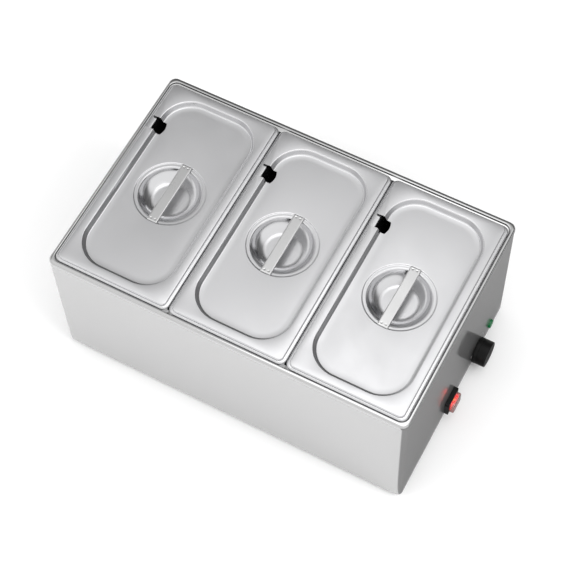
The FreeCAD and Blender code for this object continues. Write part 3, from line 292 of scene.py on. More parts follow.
def finish_mesh(name, mesh, bm, sharp=35.0):
    """Joins, turns and smooths what was drawn and makes it an object."""
    bmesh.ops.remove_doubles(bm, verts=bm.verts, dist=WELD_DISTANCE)
    bmesh.ops.recalc_face_normals(bm, faces=bm.faces)
    smooth(bm, mesh, sharp)
    obj = bpy.data.objects.new(name, mesh)
    bpy.context.scene.collection.objects.link(obj)
    return obj


def flip_to_outside(obj, axis=0):
    """Turns a skin's faces outwards, judged at its furthest face along an axis."""
    bm = bmesh.new()
    bm.from_mesh(obj.data)
    furthest = max(bm.faces, key=lambda face: face.calc_center_median()[axis])
    if furthest.normal[axis] < 0:
        bmesh.ops.reverse_faces(bm, faces=bm.faces)
    bm.to_mesh(obj.data)
    bm.free()


def thicken(obj, sheet):
    """Gives a skin its sheet thickness, away from the side that its faces show."""
    solid = obj.modifiers.new("Sheet thickness", "SOLIDIFY")
    solid.thickness = sheet * MM
    solid.offset = -1
    solid.use_even_offset = True


def bake(obj, sharp=35.0):
    """Makes an object's modifiers part of its mesh."""
    graph = bpy.context.evaluated_depsgraph_get()
    graph.update()
    mesh = bpy.data.meshes.new_from_object(obj.evaluated_get(graph))
    name = obj.name
    obj.modifiers.clear()
    bm = bmesh.new()
    bm.from_mesh(mesh)
    old = obj.data
    obj.data = mesh
    smooth(bm, mesh, sharp)
    mesh.name = name
    bpy.data.meshes.remove(old)


def cut_with(obj, cutter):
    """Cuts one mesh out of another and throws the cutter away."""
    boolean = obj.modifiers.new("Cut", "BOOLEAN")
    boolean.operation = "DIFFERENCE"
    boolean.solver = "EXACT"
    boolean.object = cutter
    bake(obj)
    bpy.data.objects.remove(cutter)


def prism(name, outline, low, high):
    """A closed upright block on an outline of points."""
    loops = [[Vector((x, y, z)) for x, y in outline] for z in (low, high)]
    return mesh_from_loops(name, loops, cap_first=True)


def place(obj, x, y, z, turn=None):
    """Puts an object at a spot in metres, turned first if a turn is given."""
    obj.matrix_world = Matrix.Translation(Vector((x, y, z)))
    if turn is not None:
        obj.matrix_world = obj.matrix_world @ turn.to_4x4()


def settle(obj, body, material, slot, *nodes):
    """Hands a finished piece to its body, in place of the CAD nodes it stands for."""
    obj.data.materials.clear()
    obj.data.materials.append(material)
    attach(obj, body)
    if nodes:
        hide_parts(*nodes)


def middle_of(node):
    """The middle of a CAD node's box and its two corners."""
    low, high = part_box(node)
    return (low + high) / 2, low, high


def half_of(low, high):
    """Half a box's length and width, in millimetres."""
    return (high.x - low.x) / 2 / MM, (high.y - low.y) / 2 / MM


def right_wall():
    """Where the housing's right wall stands, in metres."""
    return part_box("outer_housing")[1].x


# Materials


def linear(text):
    """A colour from its sRGB hex digits."""
    values = [int(text[i : i + 2], 16) / 255 for i in (0, 2, 4)]
    return tuple(v / 12.92 if v <= 0.04045 else ((v + 0.055) / 1.055) ** 2.4 for v in values)


def new_material(name):
    """An empty node material with its output."""
    material = bpy.data.materials.new(name)
    material.use_nodes = True
    tree = material.node_tree
    tree.nodes.clear()
    output = tree.nodes.new("ShaderNodeOutputMaterial")
    return material, tree, output


def add(tree, kind, values=None, links=None, **settings):
    """Adds a node, sets its fields, its input values and what feeds its inputs."""
    node = tree.nodes.new(kind)
    for key, value in settings.items():
        setattr(node, key, value)
    for key, value in (values or {}).items():
        node.inputs[key].default_value = value
    for key, socket in (links or {}).items():
        tree.links.new(socket, node.inputs[key])
    return node


EVEN = (1, 1, 1)


def stretched_noise(tree, stretch, scale, detail=3.0):
    """Noise in real sizes: stretch says how often it repeats along each axis, per metre."""
    coordinates = add(tree, "ShaderNodeTexCoord")
    mapping = add(
        tree,
        "ShaderNodeMapping",
        {"Scale": stretch},
        {"Vector": coordinates.outputs["Object"]},
    )
    return add(
        tree,
        "ShaderNodeTexNoise",
        {"Scale": scale, "Detail": detail, "Roughness": 0.55},
        {"Vector": mapping.outputs["Vector"]},
    )


def spread(tree, socket, low, high, from_low=0.3, from_high=0.7):
    """Maps a noise's middle band to a range of values."""
    node = add(
        tree,
        "ShaderNodeMapRange",
        {"From Min": from_low, "From Max": from_high, "To Min": low, "To Max": high},
        {"Value": socket},
    )
    return node.outputs["Result"]


def steel(
    name, colour, roughness, grain, wave, wave_scale=9.0, mark=0.04, drawn=None, haze=0.0
):
    """Cold-rolled stainless sheet: a fine rolling grain blurs what it mirrors, slow waves in
    the thin sheet bend it, and wiping leaves patches a little more or less dull. Where the
    press has drawn the sheet over a slope or a bend, it is burnished. Haze is the share of
    light that the sheet's fine pits scatter widely."""
    material, tree, output = new_material(name)
    fine = stretched_noise(tree, grain, 60.0, 2.0)
    patches = stretched_noise(tree, EVEN, 22.0, 4.0)
    waves = stretched_noise(tree, EVEN, wave_scale, 1.0)
    dull = spread(tree, patches.outputs["Fac"], roughness - mark, roughness + mark)
    if drawn is not None:
        coordinates = add(tree, "ShaderNodeTexCoord")
        slope = add(
            tree, "ShaderNodeSeparateXYZ", None, {"Vector": coordinates.outputs["Normal"]}
        )
        flat = spread(tree, slope.outputs["Z"], 0.0, 1.0, 0.8, 0.985)
        blend = add(
            tree,
            "ShaderNodeMix",
            {"A": drawn},
            {"Factor": flat, "B": dull},
        )
        dull = blend.outputs["Result"]
    rough = add(
        tree,
        "ShaderNodeMath",
        None,
        {0: dull, 1: spread(tree, fine.outputs["Fac"], -0.02, 0.02)},
        operation="ADD",
    )
    height = add(
        tree,
        "ShaderNodeBump",
        {"Strength": 1.0, "Distance": wave * MM},
        {"Height": waves.outputs["Fac"]},
    )
    scratch = add(
        tree,
        "ShaderNodeBump",
        {"Strength": 0.10, "Distance": 0.00001},
        {"Height": fine.outputs["Fac"], "Normal": height.outputs["Normal"]},
    )
    shader = add(
        tree,
        "ShaderNodeBsdfPrincipled",
        {"Base Color": (*colour, 1), "Metallic": 1.0},
        {"Roughness": rough.outputs[0], "Normal": scratch.outputs["Normal"]},
    )
    if haze:
        wide = add(
            tree,
            "ShaderNodeBsdfPrincipled",
            {"Base Color": (*colour, 1), "Metallic": 1.0, "Roughness": 0.5},
            {"Normal": scratch.outputs["Normal"]},
        )
        shader = add(
            tree, "ShaderNodeMixShader", {0: haze}, {1: shader.outputs[0], 2: wide.outputs[0]}
        )
    tree.links.new(shader.outputs[0], output.inputs["Surface"])
    return material


def moulding(name, colour, roughness, bump=0.03):
    """Moulded plastic or rubber: a faint grain from the tool breaks up its sheen."""
    material, tree, output = new_material(name)
    grain = stretched_noise(tree, EVEN, 900.0, 2.0)
    height = add(
        tree,
        "ShaderNodeBump",
        {"Strength": 0.3, "Distance": bump * MM},
        {"Height": grain.outputs["Fac"]},
    )
    rough = spread(tree, grain.outputs["Fac"], roughness - 0.04, roughness + 0.04)
    shader = add(
        tree,
        "ShaderNodeBsdfPrincipled",
        {"Base Color": (*colour, 1), "IOR": 1.5, "Specular IOR Level": 0.15},
        {"Roughness": rough, "Normal": height.outputs["Normal"]},
    )
    tree.links.new(shader.outputs[0], output.inputs["Surface"])
    return material


def plated(name, colour, roughness):
    """Turned, plated or drawn metal: small uneven patches where the finish took differently."""
    material, tree, output = new_material(name)
    patches = stretched_noise(tree, EVEN, 160.0, 4.0)
    rough = spread(tree, patches.outputs["Fac"], roughness - 0.06, roughness + 0.08)
    tint = add(
        tree,
        "ShaderNodeMix",
        {"A": (*colour, 1), "B": (*[c * 0.82 for c in colour], 1)},
        {"Factor": patches.outputs["Fac"]},
        data_type="RGBA",
    )
    shader = add(
        tree,
        "ShaderNodeBsdfPrincipled",
        {"Metallic": 1.0},
        {"Base Color": tint.outputs["Result"], "Roughness": rough},
    )
    tree.links.new(shader.outputs[0], output.inputs["Surface"])
    return material


def clear_moulding(name, colour, roughness, glow=None, strength=0.0, clear=0.6, core=None):
    """Clear coloured plastic: light goes in and comes out tinted. A lamp behind it shows as a
    glow: its own colour at the core, given as a point and a reach, then the plastic's."""
    material, tree, output = new_material(name)
    cloud = stretched_noise(tree, EVEN, 240.0, 2.0)
    rough = spread(tree, cloud.outputs["Fac"], roughness - 0.03, roughness + 0.05)
    values = {
        "Base Color": (*colour, 1),
        "IOR": 1.49,
        "Transmission Weight": clear,
        "Coat Weight": 0.3,
    }
    links = {"Roughness": rough}
    if glow:
        coordinates = add(tree, "ShaderNodeTexCoord")
        away = add(
            tree,
            "ShaderNodeVectorMath",
            {1: tuple(Vector(core[:3]) * MM)},
            {0: coordinates.outputs["Object"]},
            operation="DISTANCE",
        )
        reach = core[3] * MM
        near = spread(tree, away.outputs["Value"], 1.0, 0.0, reach * 0.35, reach)
        tint = add(
            tree,
            "ShaderNodeMix",
            {"A": (*colour, 1), "B": (*glow, 1)},
            {"Factor": near},
            data_type="RGBA",
        )
        links["Emission Color"] = tint.outputs["Result"]
        values["Emission Strength"] = strength
    shader = add(tree, "ShaderNodeBsdfPrincipled", values, links)
    tree.links.new(shader.outputs[0], output.inputs["Surface"])
    return material


def material_named(name, maker, *values, **settings):
    """One shared copy of each material."""
    return bpy.data.materials.get(name) or maker(name, *values, **settings)


# Pieces. Their sizes are in millimetres.

HOUSING_SHEET = 1.0
HOUSING_CORNER = 8.0
BOTTOM_LIP = 18.0
BOTTOM_LIP_CORNER = 6.0
BOTTOM_BEND = 2.2
WALL_ROWS = 8


class STEAM_OT_housing(bpy.types.Operator):
    """Build the bent-sheet housing"""

    bl_idname = "steam.housing"
    bl_label = "Housing"

    def execute(self, context):
        settings = context.scene.steam_sheet
        middle, low, high = middle_of("outer_housing")
        hx, hy = half_of(low, high)
        top = (high.z - low.z) / MM
        points = [
            (hx - BOTTOM_LIP, hy - BOTTOM_LIP, BOTTOM_LIP_CORNER, 0, 0),
            (hx, hy, HOUSING_CORNER, 0, BOTTOM_BEND),
            (hx, hy, HOUSING_CORNER, top, 0),
        ]
        path = rounded_path(points)
        start = path[-2][3]
        for i in range(1, WALL_ROWS):
            z = start + (top - start) * i / WALL_ROWS
            path.insert(-1, (hx, hy, HOUSING_CORNER, z))
        loops = [rect_loop(*spot, sides=(24, 40), turns=8) for spot in path]
        obj = mesh_from_loops("housing_wrap", loops, cap_last=False)
        flip_to_outside(obj)
        thicken(obj, HOUSING_SHEET)
        bake(obj)
        place(obj, middle.x, middle.y, low.z)
        sheet = housing_steel(settings)
        settle(obj, "unit", sheet, "stainless_sheet", "outer_housing")
        return {"FINISHED"}


def housing_steel(settings):
    """The material of the housing and of the base plate."""
    return material_named(
        "Cold-rolled stainless sheet of the housing",
        steel,
        settings.steel,
        settings.roughness,
        grain=(40.0, 40.0, 6.0),
        wave=settings.waviness,
        wave_scale=5.0,
        mark=0.012,
        haze=0.35,
    )


TANK_SHEET = 1.0
TANK_CORNER = 11.0
TANK_SKIRT = 6.5
TANK_ROLL = 3.6
END_RIM = 5.4
SIDE_RIM = 7.0
LEDGE_CORNER = 11.5
LEDGE_DROP = 3.0
LEDGE_WIDTH = 7.0
WELL_CORNER = 40.0
WELL_BEND = 12.0


class STEAM_OT_tank(bpy.types.Operator):
    """Build the drawn tank with its rolled-down rim"""

    bl_idname = "steam.tank"
    bl_label = "Tank"

    def execute(self, context):
        settings = context.scene.steam_sheet
        middle, low, high = middle_of("tank")
        hx, hy = half_of(low, high)
        top = high.z / MM
        ledge = top - LEDGE_DROP
        ledge_x, ledge_y = hx - END_RIM, hy - SIDE_RIM
        well_x, well_y = ledge_x - LEDGE_WIDTH, ledge_y - LEDGE_WIDTH
        floor = low.z / MM + TANK_SHEET
        points = [
            (hx, hy, TANK_CORNER, top - TANK_SKIRT, 0),
            (hx, hy, TANK_CORNER, top, TANK_ROLL),
            (ledge_x, ledge_y, LEDGE_CORNER, top, 1.3),
            (ledge_x, ledge_y, LEDGE_CORNER, ledge, 0.9),
            (well_x, well_y, WELL_CORNER, ledge, 2.4),
            (well_x, well_y, WELL_CORNER, floor, WELL_BEND),
            (60.0, 40.0, 20.0, floor, 0),
        ]
        loops = [rect_loop(*spot, sides=(20, 34), turns=10) for spot in rounded_path(points)]
        obj = mesh_from_loops("tank_pressing", loops)
        flip_to_outside(obj)
        thicken(obj, TANK_SHEET)
        bake(obj)
        place(obj, middle.x, middle.y, 0)
        sheet = material_named(
            "Drawn stainless sheet of the tank",
            steel,
            settings.steel,
            settings.roughness,
            grain=(10.0, 40.0, 40.0),
            wave=settings.waviness * 0.6,
        )
        settle(obj, "unit", sheet, "stainless_sheet", "tank")
        return {"FINISHED"}


PAN_SHEET = 0.8
PAN_CORNER = 10.0
PAN_SKIRT = 6.7
PAN_EDGE_BEND = 2.2
PAN_RIM = 11.2
MOUTH_CORNER = 44.0
MOUTH_BEND = 1.5
PAN_DRAFT = math.radians(3)
PAN_FLOOR_BEND = 14.0


class STEAM_OT_pans(bpy.types.Operator):
    """Build the three drawn pans"""

    bl_idname = "steam.pans"
    bl_label = "Pans"

    def execute(self, context):
        sheet = material_named(
            "Deep-drawn stainless of the pans",
            steel,
            context.scene.steam_lids.steel,
            0.25,
            grain=(40.0, 40.0, 10.0),
            wave=0.02,
        )
        for side in SIDES:
            node = "pan_" + side
            middle, low, high = middle_of(node)
            hx, hy = half_of(low, high)
            top = high.z / MM
            floor = low.z / MM + PAN_SHEET
            mouth_x, mouth_y = hx - PAN_RIM, hy - PAN_RIM
            draft = (top - floor) * math.tan(PAN_DRAFT)
            points = [
                (hx, hy, PAN_CORNER, top - PAN_SKIRT, 0),
                (hx, hy, PAN_CORNER, top, PAN_EDGE_BEND),
                (mouth_x, mouth_y, MOUTH_CORNER, top, MOUTH_BEND),
                (mouth_x - draft, mouth_y - draft, MOUTH_CORNER - draft, floor, PAN_FLOOR_BEND),
                (25.0, 60.0, 12.0, floor, 0),
            ]
            loops = [rect_loop(*spot, sides=(24, 12), turns=12) for spot in rounded_path(points)]
            obj = mesh_from_loops(node + "_pressing", loops)
            flip_to_outside(obj)
            thicken(obj, PAN_SHEET)
            bake(obj)
            place(obj, middle.x, middle.y, 0)
            settle(obj, node, sheet, "stainless_pan", node)
        return {"FINISHED"}


LID_SHEET = 0.8
LID_CORNER = 8.0
LID_EDGE = 4.0
LID_EDGE_BEND = 1.6
FLANGE = 12.8
PANEL_CORNER = 45.0
PANEL_DROP = 8.0
PANEL_SLOPE = 3.4
PANEL_BORDER = 12.8
RING_RADIUS = 50.1
RING_DROP = 1.2
BOWL_MOUTH = 44.0
BOWL_FLOOR = 25.0
BOWL_DEPTH = 18.0
BOWL_ROWS = 16


def lid_loops(hx, hy):
    """Loops of the lid's upper side, from its turned-down edge to the bowl's floor. The lid's
    top is at height zero."""
    panel = -PANEL_DROP
    slope, inside = FLANGE + PANEL_SLOPE, FLANGE + PANEL_BORDER
    points = [
        (hx, hy, LID_CORNER, -LID_EDGE, 0),
        (hx, hy, LID_CORNER, 0, LID_EDGE_BEND),
        (hx - FLANGE, hy - FLANGE, PANEL_CORNER, 0, 2.2),
        (hx - slope, hy - slope, PANEL_CORNER - PANEL_SLOPE, panel, 2.5),
        (hx - inside, hy - inside, PANEL_CORNER - PANEL_BORDER, panel, 0),
    ]
    loops = [rect_loop(*spot, sides=(44, 8), turns=14) for spot in rounded_path(points)]
    directions = loops[-1]
    loops += [round_loop(radius, z, directions) for radius, z in cup_section(panel)]
    return loops


def cup_section(panel):
    """Radius and height down the finger cup: a step, a flat ring and a bowl."""
    ring = panel - RING_DROP
    edge = ((1.5, 0.0), (0.8, -0.03), (0.25, -0.2), (0.0, -0.6))
    foot = ((-0.2, 0.25), (-0.5, 0.05), (-1.1, 0.0), (-3.1, 0.0))
    lip = ((1.4, 0.0), (0.7, -0.12), (0.1, -0.5))
    section = [(RING_RADIUS + out, panel + up) for out, up in edge]
    section += [(RING_RADIUS + out, ring + up) for out, up in foot]
    section += [(BOWL_MOUTH + out, ring + up) for out, up in lip]
    top = ring - 1.1
    floor = panel - BOWL_DEPTH
    run = BOWL_MOUTH - 0.3 - BOWL_FLOOR
    for step in range(1, BOWL_ROWS):
        part = step / BOWL_ROWS
        angle = math.pi / 2 * part
        x = BOWL_FLOOR + run * (0.5 * math.cos(angle) + 0.5 * (1 - part))
        z = top - (top - floor) * (0.5 * math.sin(angle) + 0.5 * part)
        ease = max(0.0, part - 0.75) / 0.25
        section.append((x, z + (floor - z) * 0.5 * ease * ease))
    section += [(radius, floor) for radius in (24.2, 22.5, 14.0, 5.0)]
    return section


NOTCH_MIDDLE = 88.1
NOTCH_HALF = 10.6
NOTCH_START = -90.0
NOTCH_END = -58.8
NOTCH_BULGE = 2.3
NOTCH_CORNER = 2.0


def notch_outline():
    """The spoon notch seen from above, from beyond the lid's edge to its bulged end."""
    low, high = NOTCH_MIDDLE - NOTCH_HALF, NOTCH_MIDDLE + NOTCH_HALF
    shoulder = NOTCH_END - NOTCH_BULGE - NOTCH_CORNER
    outline = [(NOTCH_START, low), (shoulder, low)]
    for step in range(1, 6):
        angle = math.radians(-90 + 75 * step / 5)
        x = shoulder + NOTCH_CORNER * math.cos(angle) + 0.35
        outline.append((x, low + NOTCH_CORNER + NOTCH_CORNER * math.sin(angle)))
    for step in range(1, 12):
        part = 2 * step / 12 - 1
        y = NOTCH_MIDDLE + part * (NOTCH_HALF - NOTCH_CORNER)
        outline.append((NOTCH_END - NOTCH_BULGE * 0.85 * part * part, y))
    for step in range(5):
        angle = math.radians(15 + 75 * step / 5)
        x = shoulder + NOTCH_CORNER * math.cos(angle) + 0.35
        outline.append((x, high - NOTCH_CORNER + NOTCH_CORNER * math.sin(angle)))
    outline += [(shoulder, high), (NOTCH_START, high)]
    return outline


class STEAM_OT_lids(bpy.types.Operator):
    """Build the three pressed lids with their finger cups and spoon notches"""

    bl_idname = "steam.lids"
    bl_label = "Lids"

    def execute(self, context):
        settings = context.scene.steam_lids
        sheet = material_named(
            "Pressed stainless of the lids",
            steel,
            settings.steel,
            settings.roughness,
            grain=(40.0, 8.0, 40.0),
            wave=0.015,
            wave_scale=12.0,
            drawn=0.13,
        )
        for side in SIDES:
            node = "lid_" + side
            middle, low, high = middle_of(node)
            obj = mesh_from_loops(node + "_pressing", lid_loops(*half_of(low, high)))
            flip_to_outside(obj)
            thicken(obj, LID_SHEET)
            bake(obj)
            cut_with(obj, prism("notch_cutter", notch_outline(), -30.0, 5.0))
            place(obj, middle.x, middle.y, high.z)
            settle(obj, node, sheet, "stainless_lid", node)
        return {"FINISHED"}


STRAP_SHEET = 1.1
STRAP_EDGE = 0.4
WELD_RADIUS = 1.6
WELD_DEPTH = 0.35
WELD_FROM_MIDDLE = 3.2
WELD_FROM_END = 3.4
MESH_STEP = 0.5


class STEAM_OT_straps(bpy.types.Operator):
    """Build the spot-welded strap handles"""

    bl_idname = "steam.straps"
    bl_label = "Strap handles"

    def execute(self, context):
        sheet = material_named(
            "Flat stainless bar of the straps",
            steel,
            (0.62, 0.62, 0.62),
            0.3,
            grain=(60.0, 6.0, 60.0),
            wave=0.03,
            wave_scale=30.0,
        )
        for side in SIDES:
            node = "lid_handle_" + side
            middle, low, high = middle_of(node)
            obj = strap_mesh(node + "_strap", (high - low) / MM)
            skew = context.scene.steam_lids.strap_skew if side == "right" else 0.0
            place(obj, middle.x, middle.y, high.z, Matrix.Rotation(-skew, 3, "Z"))
            settle(obj, "lid_" + side, sheet, "stainless_lid", node)
        return {"FINISHED"}


def strap_mesh(name, size):
    """A flat bar with broken edges and a pair of weld dimples at each end."""
    half_x, half_y = size.x / 2, size.y / 2
    edge = [0.0, 0.1, 0.22, STRAP_EDGE]
    across = [d - half_x for d in edge]
    across += [STRAP_EDGE + MESH_STEP * i - half_x for i in range(1, 26)]
    across += [half_x - d for d in reversed(edge)]
    ends = edge + [STRAP_EDGE + MESH_STEP * i for i in range(1, 15)]
    along = [d - half_y for d in ends]
    along += range(-40, 41, 10)
    along += [half_y - d for d in reversed(ends)]
    mesh = bpy.data.meshes.new(name)
    bm = bmesh.new()
    rows = []
    for y in along:
        row = []
        for x in across:
            border = min(half_x - abs(x), half_y - abs(y), STRAP_EDGE)
            rounding = STRAP_EDGE**2 - (STRAP_EDGE - border) ** 2
            drop = STRAP_EDGE - math.sqrt(max(rounding, 0))
            weld = math.hypot(abs(x) - WELD_FROM_MIDDLE, abs(y) - half_y + WELD_FROM_END)
            drop += WELD_DEPTH * max(0.0, 1 - (weld / WELD_RADIUS) ** 2)
            row.append(bm.verts.new(Vector((x, y, -drop)) * MM))
        rows.append(row)
    for first, second in zip(rows, rows[1:]):
        for i in range(len(first) - 1):
            bm.faces.new((first[i], first[i + 1], second[i + 1], second[i]))
    obj = finish_mesh(name, mesh, bm, 60.0)
    thicken(obj, STRAP_SHEET)
    bake(obj, 50.0)
    return obj


# Controls. Heights are from the right wall outwards.


def lathe(name, section, count):
    """Turns a section of radius and height, in millimetres, about Z."""
    loops = [circle_loop(radius, z, count) for radius, z in section]
    return mesh_from_loops(name, loops, cap_first=True)


def quarter(radius, height, across, up, count):
    """A rounded shoulder's points, from beside it to above it."""
    angles = [math.pi / 2 * step / count for step in range(1, count + 1)]
    return [(radius + across * math.cos(a), height + up * math.sin(a)) for a in angles]


def black_plastic(context):
    """The material of the knob and of the switch's frame."""
    return material_named(
        "Black phenolic moulding",
        moulding,
        context.scene.steam_controls.knob,
        0.38,
    )


class STEAM_OT_knob(bpy.types.Operator):
    """Build the thermostat knob"""

    bl_idname = "steam.knob"
    bl_label = "Thermostat knob"

    def execute(self, context):
        middle = middle_of("thermostat_knob")[0]
        hub = [(3.1, 15.2), (3.1, 1.0), (6.0, 1.0), (6.0, 11.5), (7.0, 12.0)]
        hollow = [(17.3, 12.0), (17.8, 11.6), (18.4, 1.2), (18.6, 1.0)]
        skirt = [(19.7, 1.0), (19.95, 1.15), (20.0, 1.4), (20.0, 5.7), (19.95, 6.0)]
        line = [(19.8, 6.15), (19.68, 6.3), (19.66, 6.6), (19.78, 6.8)]
        grip = [(19.76, 8.0), (19.65, 16.0), (19.6, 20.1)]
        face = quarter(18.1, 20.1, 1.5, 1.1, 6) + [(12.0, 21.4), (6.0, 21.55), (1.0, 21.6)]
        section = hub + hollow + skirt + line + grip + face
        obj = lathe("thermostat_knob_moulding", section, 128)
        cut_with(obj, prism("pointer_cutter", pointer_outline(), 20.9, 23.0))
        place(obj, right_wall(), middle.y, middle.z, TO_RIGHT)
        settle(obj, "knob", black_plastic(context), "black_plastic", "thermostat_knob")
        return {"FINISHED"}


POINTER_ENDS = ((-7.0, -90), (-16.0, 90))
POINTER_HALF = 0.9


def pointer_outline():
    """A slim rounded groove from the knob's rim inwards."""
    outline = []
    for centre, first in POINTER_ENDS:
        for step in range(9):
            angle = math.radians(first + 180 * step / 8)
            x = centre + POINTER_HALF * math.cos(angle)
            outline.append((x, POINTER_HALF * math.sin(angle)))
    return outline


SCALE_START = 200
SCALE_SWEEP = 270
SCALE_THIN = 0.12
SCALE_GROWTH = 1.5
SCALE_PARTS = 72
INK_TOP = 0.04
INK_SHEET = 0.03


class STEAM_OT_scale(bpy.types.Operator):
    """Print the tapered arc round the knob"""

    bl_idname = "steam.scale"
    bl_label = "Printed scale"

    def execute(self, context):
        middle = middle_of("thermostat_knob")[0]
        radius = context.scene.steam_controls.scale_radius / MM
        mesh = bpy.data.meshes.new("dial_scale_print")
        bm = bmesh.new()
        rows = []
        for i in range(SCALE_PARTS + 1):
            part = i / SCALE_PARTS
            angle = math.radians(SCALE_START - SCALE_SWEEP * part)
            half = SCALE_THIN + SCALE_GROWTH * part
            ray = Vector((math.cos(angle), math.sin(angle), 0))
            lift = Vector((0, 0, INK_TOP))
            spots = [ray * (radius - half) + lift, ray * (radius + half) + lift]
            rows.append([bm.verts.new(spot * MM) for spot in spots])
        for first, second in zip(rows, rows[1:]):
            bm.faces.new((first[0], first[1], second[1], second[0]))
        obj = finish_mesh("dial_scale_print", mesh, bm)
        thicken(obj, INK_SHEET)
        bake(obj)
        ink = material_named("Screen-printed grey ink", moulding, linear("8A8A8A"), 0.5)
        place(obj, right_wall(), middle.y, middle.z, TO_RIGHT)
        settle(obj, "unit", ink, "black_plastic")
        return {"FINISHED"}


class STEAM_OT_lamp(bpy.types.Operator):
    """Build the green signal lamp's lens"""

    bl_idname = "steam.lamp"
    bl_label = "Signal lamp"

    def execute(self, context):
        middle = middle_of("lamp_lens")[0]
        barrel = [(4.6, -5.0), (4.7, -4.9), (4.7, 0.02)]
        edge = [(6.75, 0.02), (6.9, 0.15), (6.9, 2.4)]
        dome = quarter(5.4, 2.4, 1.5, 1.3, 8) + [(3.6, 3.85), (1.8, 3.97), (0.4, 4.0)]
        obj = lathe("lamp_lens_moulding", barrel + edge + dome, 64)
        lens = material_named(
            "Clear green lens",
            clear_moulding,
            linear("03502A"),
            0.12,
            glow=linear("17B36B"),
            strength=0.55,
            clear=0.1,
            core=(0.0, 0.0, 3.0, 4.0),
        )
        place(obj, right_wall(), middle.y, middle.z, TO_RIGHT)
        settle(obj, "unit", lens, "green_lens", "lamp_lens")
        return {"FINISHED"}


BEZEL_REACH = 6.6
BEZEL_HALF = (14.5, 16.5)
BODY_HALF = (10.8, 13.8)
WINDOW_HALF = (7.85, 10.75)
COVER_HALF = (11.75, 12.75)
COVER_TOP = 13.2
COVER_SHEET = 0.8
PIVOT_REACH = 4.5
ROCKER_HALF = 7.5
ROCKER_REST = math.radians(-10)


class STEAM_OT_switch(bpy.types.Operator):
    """Build the lit rocker switch under its splash cover"""

    bl_idname = "steam.switch"
    bl_label = "Rocker switch"

    def execute(self, context):
        middle = middle_of("switch_cover")[0]
        self.build_bezel(context, middle)
        self.build_rocker(context, middle)
        self.build_cover(middle)
        return {"FINISHED"}

    def build_bezel(self, context, middle):
        points = [
            (*BODY_HALF, 0.5, -22.0, 0),
            (*BODY_HALF, 0.5, 0.0, 0),
            (*BEZEL_HALF, 1.5, 0.0, 0),
            (*BEZEL_HALF, 1.5, BEZEL_REACH, 0.7),
            (*WINDOW_HALF, 0.6, BEZEL_REACH, 0.5),
            (*WINDOW_HALF, 0.6, -9.0, 0),
        ]
        loops = [rect_loop(*spot, sides=(8, 8), turns=4) for spot in rounded_path(points)]
        obj = mesh_from_loops("switch_bezel_moulding", loops, cap_first=True)
        place(obj, right_wall(), middle.y, middle.z, TO_RIGHT)
        settle(obj, "unit", black_plastic(context), "black_plastic", "switch_housing")

    def build_rocker(self, context, middle):
        outline = rocker_outline()
        mesh = bpy.data.meshes.new("switch_rocker_moulding")
        bm = bmesh.new()
        rows = []
        for y in (-ROCKER_HALF, ROCKER_HALF):
            rows.append([bm.verts.new(Vector((x, y, z)) * MM) for x, z in outline])
        count = len(outline)
        for i in range(count):
            after = (i + 1) % count
            bm.faces.new((rows[0][i], rows[0][after], rows[1][after], rows[1][i]))
        bm.faces.new(rows[0])
        bm.faces.new(rows[1][::-1])
        obj = finish_mesh("switch_rocker_moulding", mesh, bm, 30.0)
        bevel = obj.modifiers.new("Moulded edges", "BEVEL")
        bevel.width = 0.5 * MM
        bevel.segments = 3
        bevel.limit_method = "ANGLE"
        bake(obj, 40.0)
        turned = Matrix.Rotation(math.radians(90), 3, "Z")
        tilt = Matrix.Rotation(ROCKER_REST, 3, "Y")
        pivot = right_wall() + PIVOT_REACH * MM
        place(obj, pivot, middle.y, middle.z, TO_RIGHT @ turned @ tilt)
        lit = material_named(
            "Lit red rocker",
            clear_moulding,
            linear("F01A08"),
            0.2,
            glow=linear("FFC414"),
            strength=context.scene.steam_controls.glow,
            clear=0.1,
            core=(0.0, 7.5, 3.2, 3.0),
        )
        settle(obj, "rocker", lit, "red_lit_plastic", "switch_rocker")

    def build_cover(self, middle):
        points = [
            (*COVER_HALF, 4.0, BEZEL_REACH + 0.02, 0),
            (*COVER_HALF, 4.0, COVER_TOP, 1.9),
            (4.0, 5.0, 1.2, COVER_TOP + 0.1, 0),
        ]
        loops = [rect_loop(*spot, sides=(6, 6), turns=8) for spot in rounded_path(points, 6)]
        obj = mesh_from_loops("switch_cover_moulding", loops)
        flip_to_outside(obj, axis=2)
        thicken(obj, COVER_SHEET)
        bake(obj)
        clear = material_named(
            "Clear vinyl splash cover",
            clear_moulding,
            linear("FFDCD8"),
            0.06,
            clear=0.96,
        )
        place(obj, right_wall(), middle.y, middle.z, TO_RIGHT)
        settle(obj, "unit", clear, "clear_cover", "switch_cover")


ROCKER_RADIUS = 10.4
ROCKER_FLOOR = -2.5
ROCKER_DIP = 3.8
ROCKER_SLOPE = 1.83
ROCKER_CREASE = 0.004


def rocker_outline():
    """The rocker from its side: round ends about the pivot and a face that dips to a soft
    crease in the middle."""
    outline = []
    first = math.asin(ROCKER_FLOOR / ROCKER_RADIUS)
    corner = ROCKER_DIP + ROCKER_SLOPE
    last = math.atan2(corner, math.sqrt(ROCKER_RADIUS**2 - corner**2))
    for step in range(11):
        angle = first + (last - first) * step / 10
        outline.append((ROCKER_RADIUS * math.cos(angle), ROCKER_RADIUS * math.sin(angle)))
    edge = outline[-1][0]
    outline[-1] = (edge, ROCKER_DIP + ROCKER_SLOPE * edge / ROCKER_RADIUS)
    for step in range(1, 20):
        x = edge * (1 - step / 10)
        rise = math.sqrt((x / ROCKER_RADIUS) ** 2 + ROCKER_CREASE)
        outline.append((x, ROCKER_DIP + ROCKER_SLOPE * rise))
    outline += [(-x, z) for x, z in reversed(outline[:11])]
    return outline


# Pieces whose CAD mesh is shown as it is

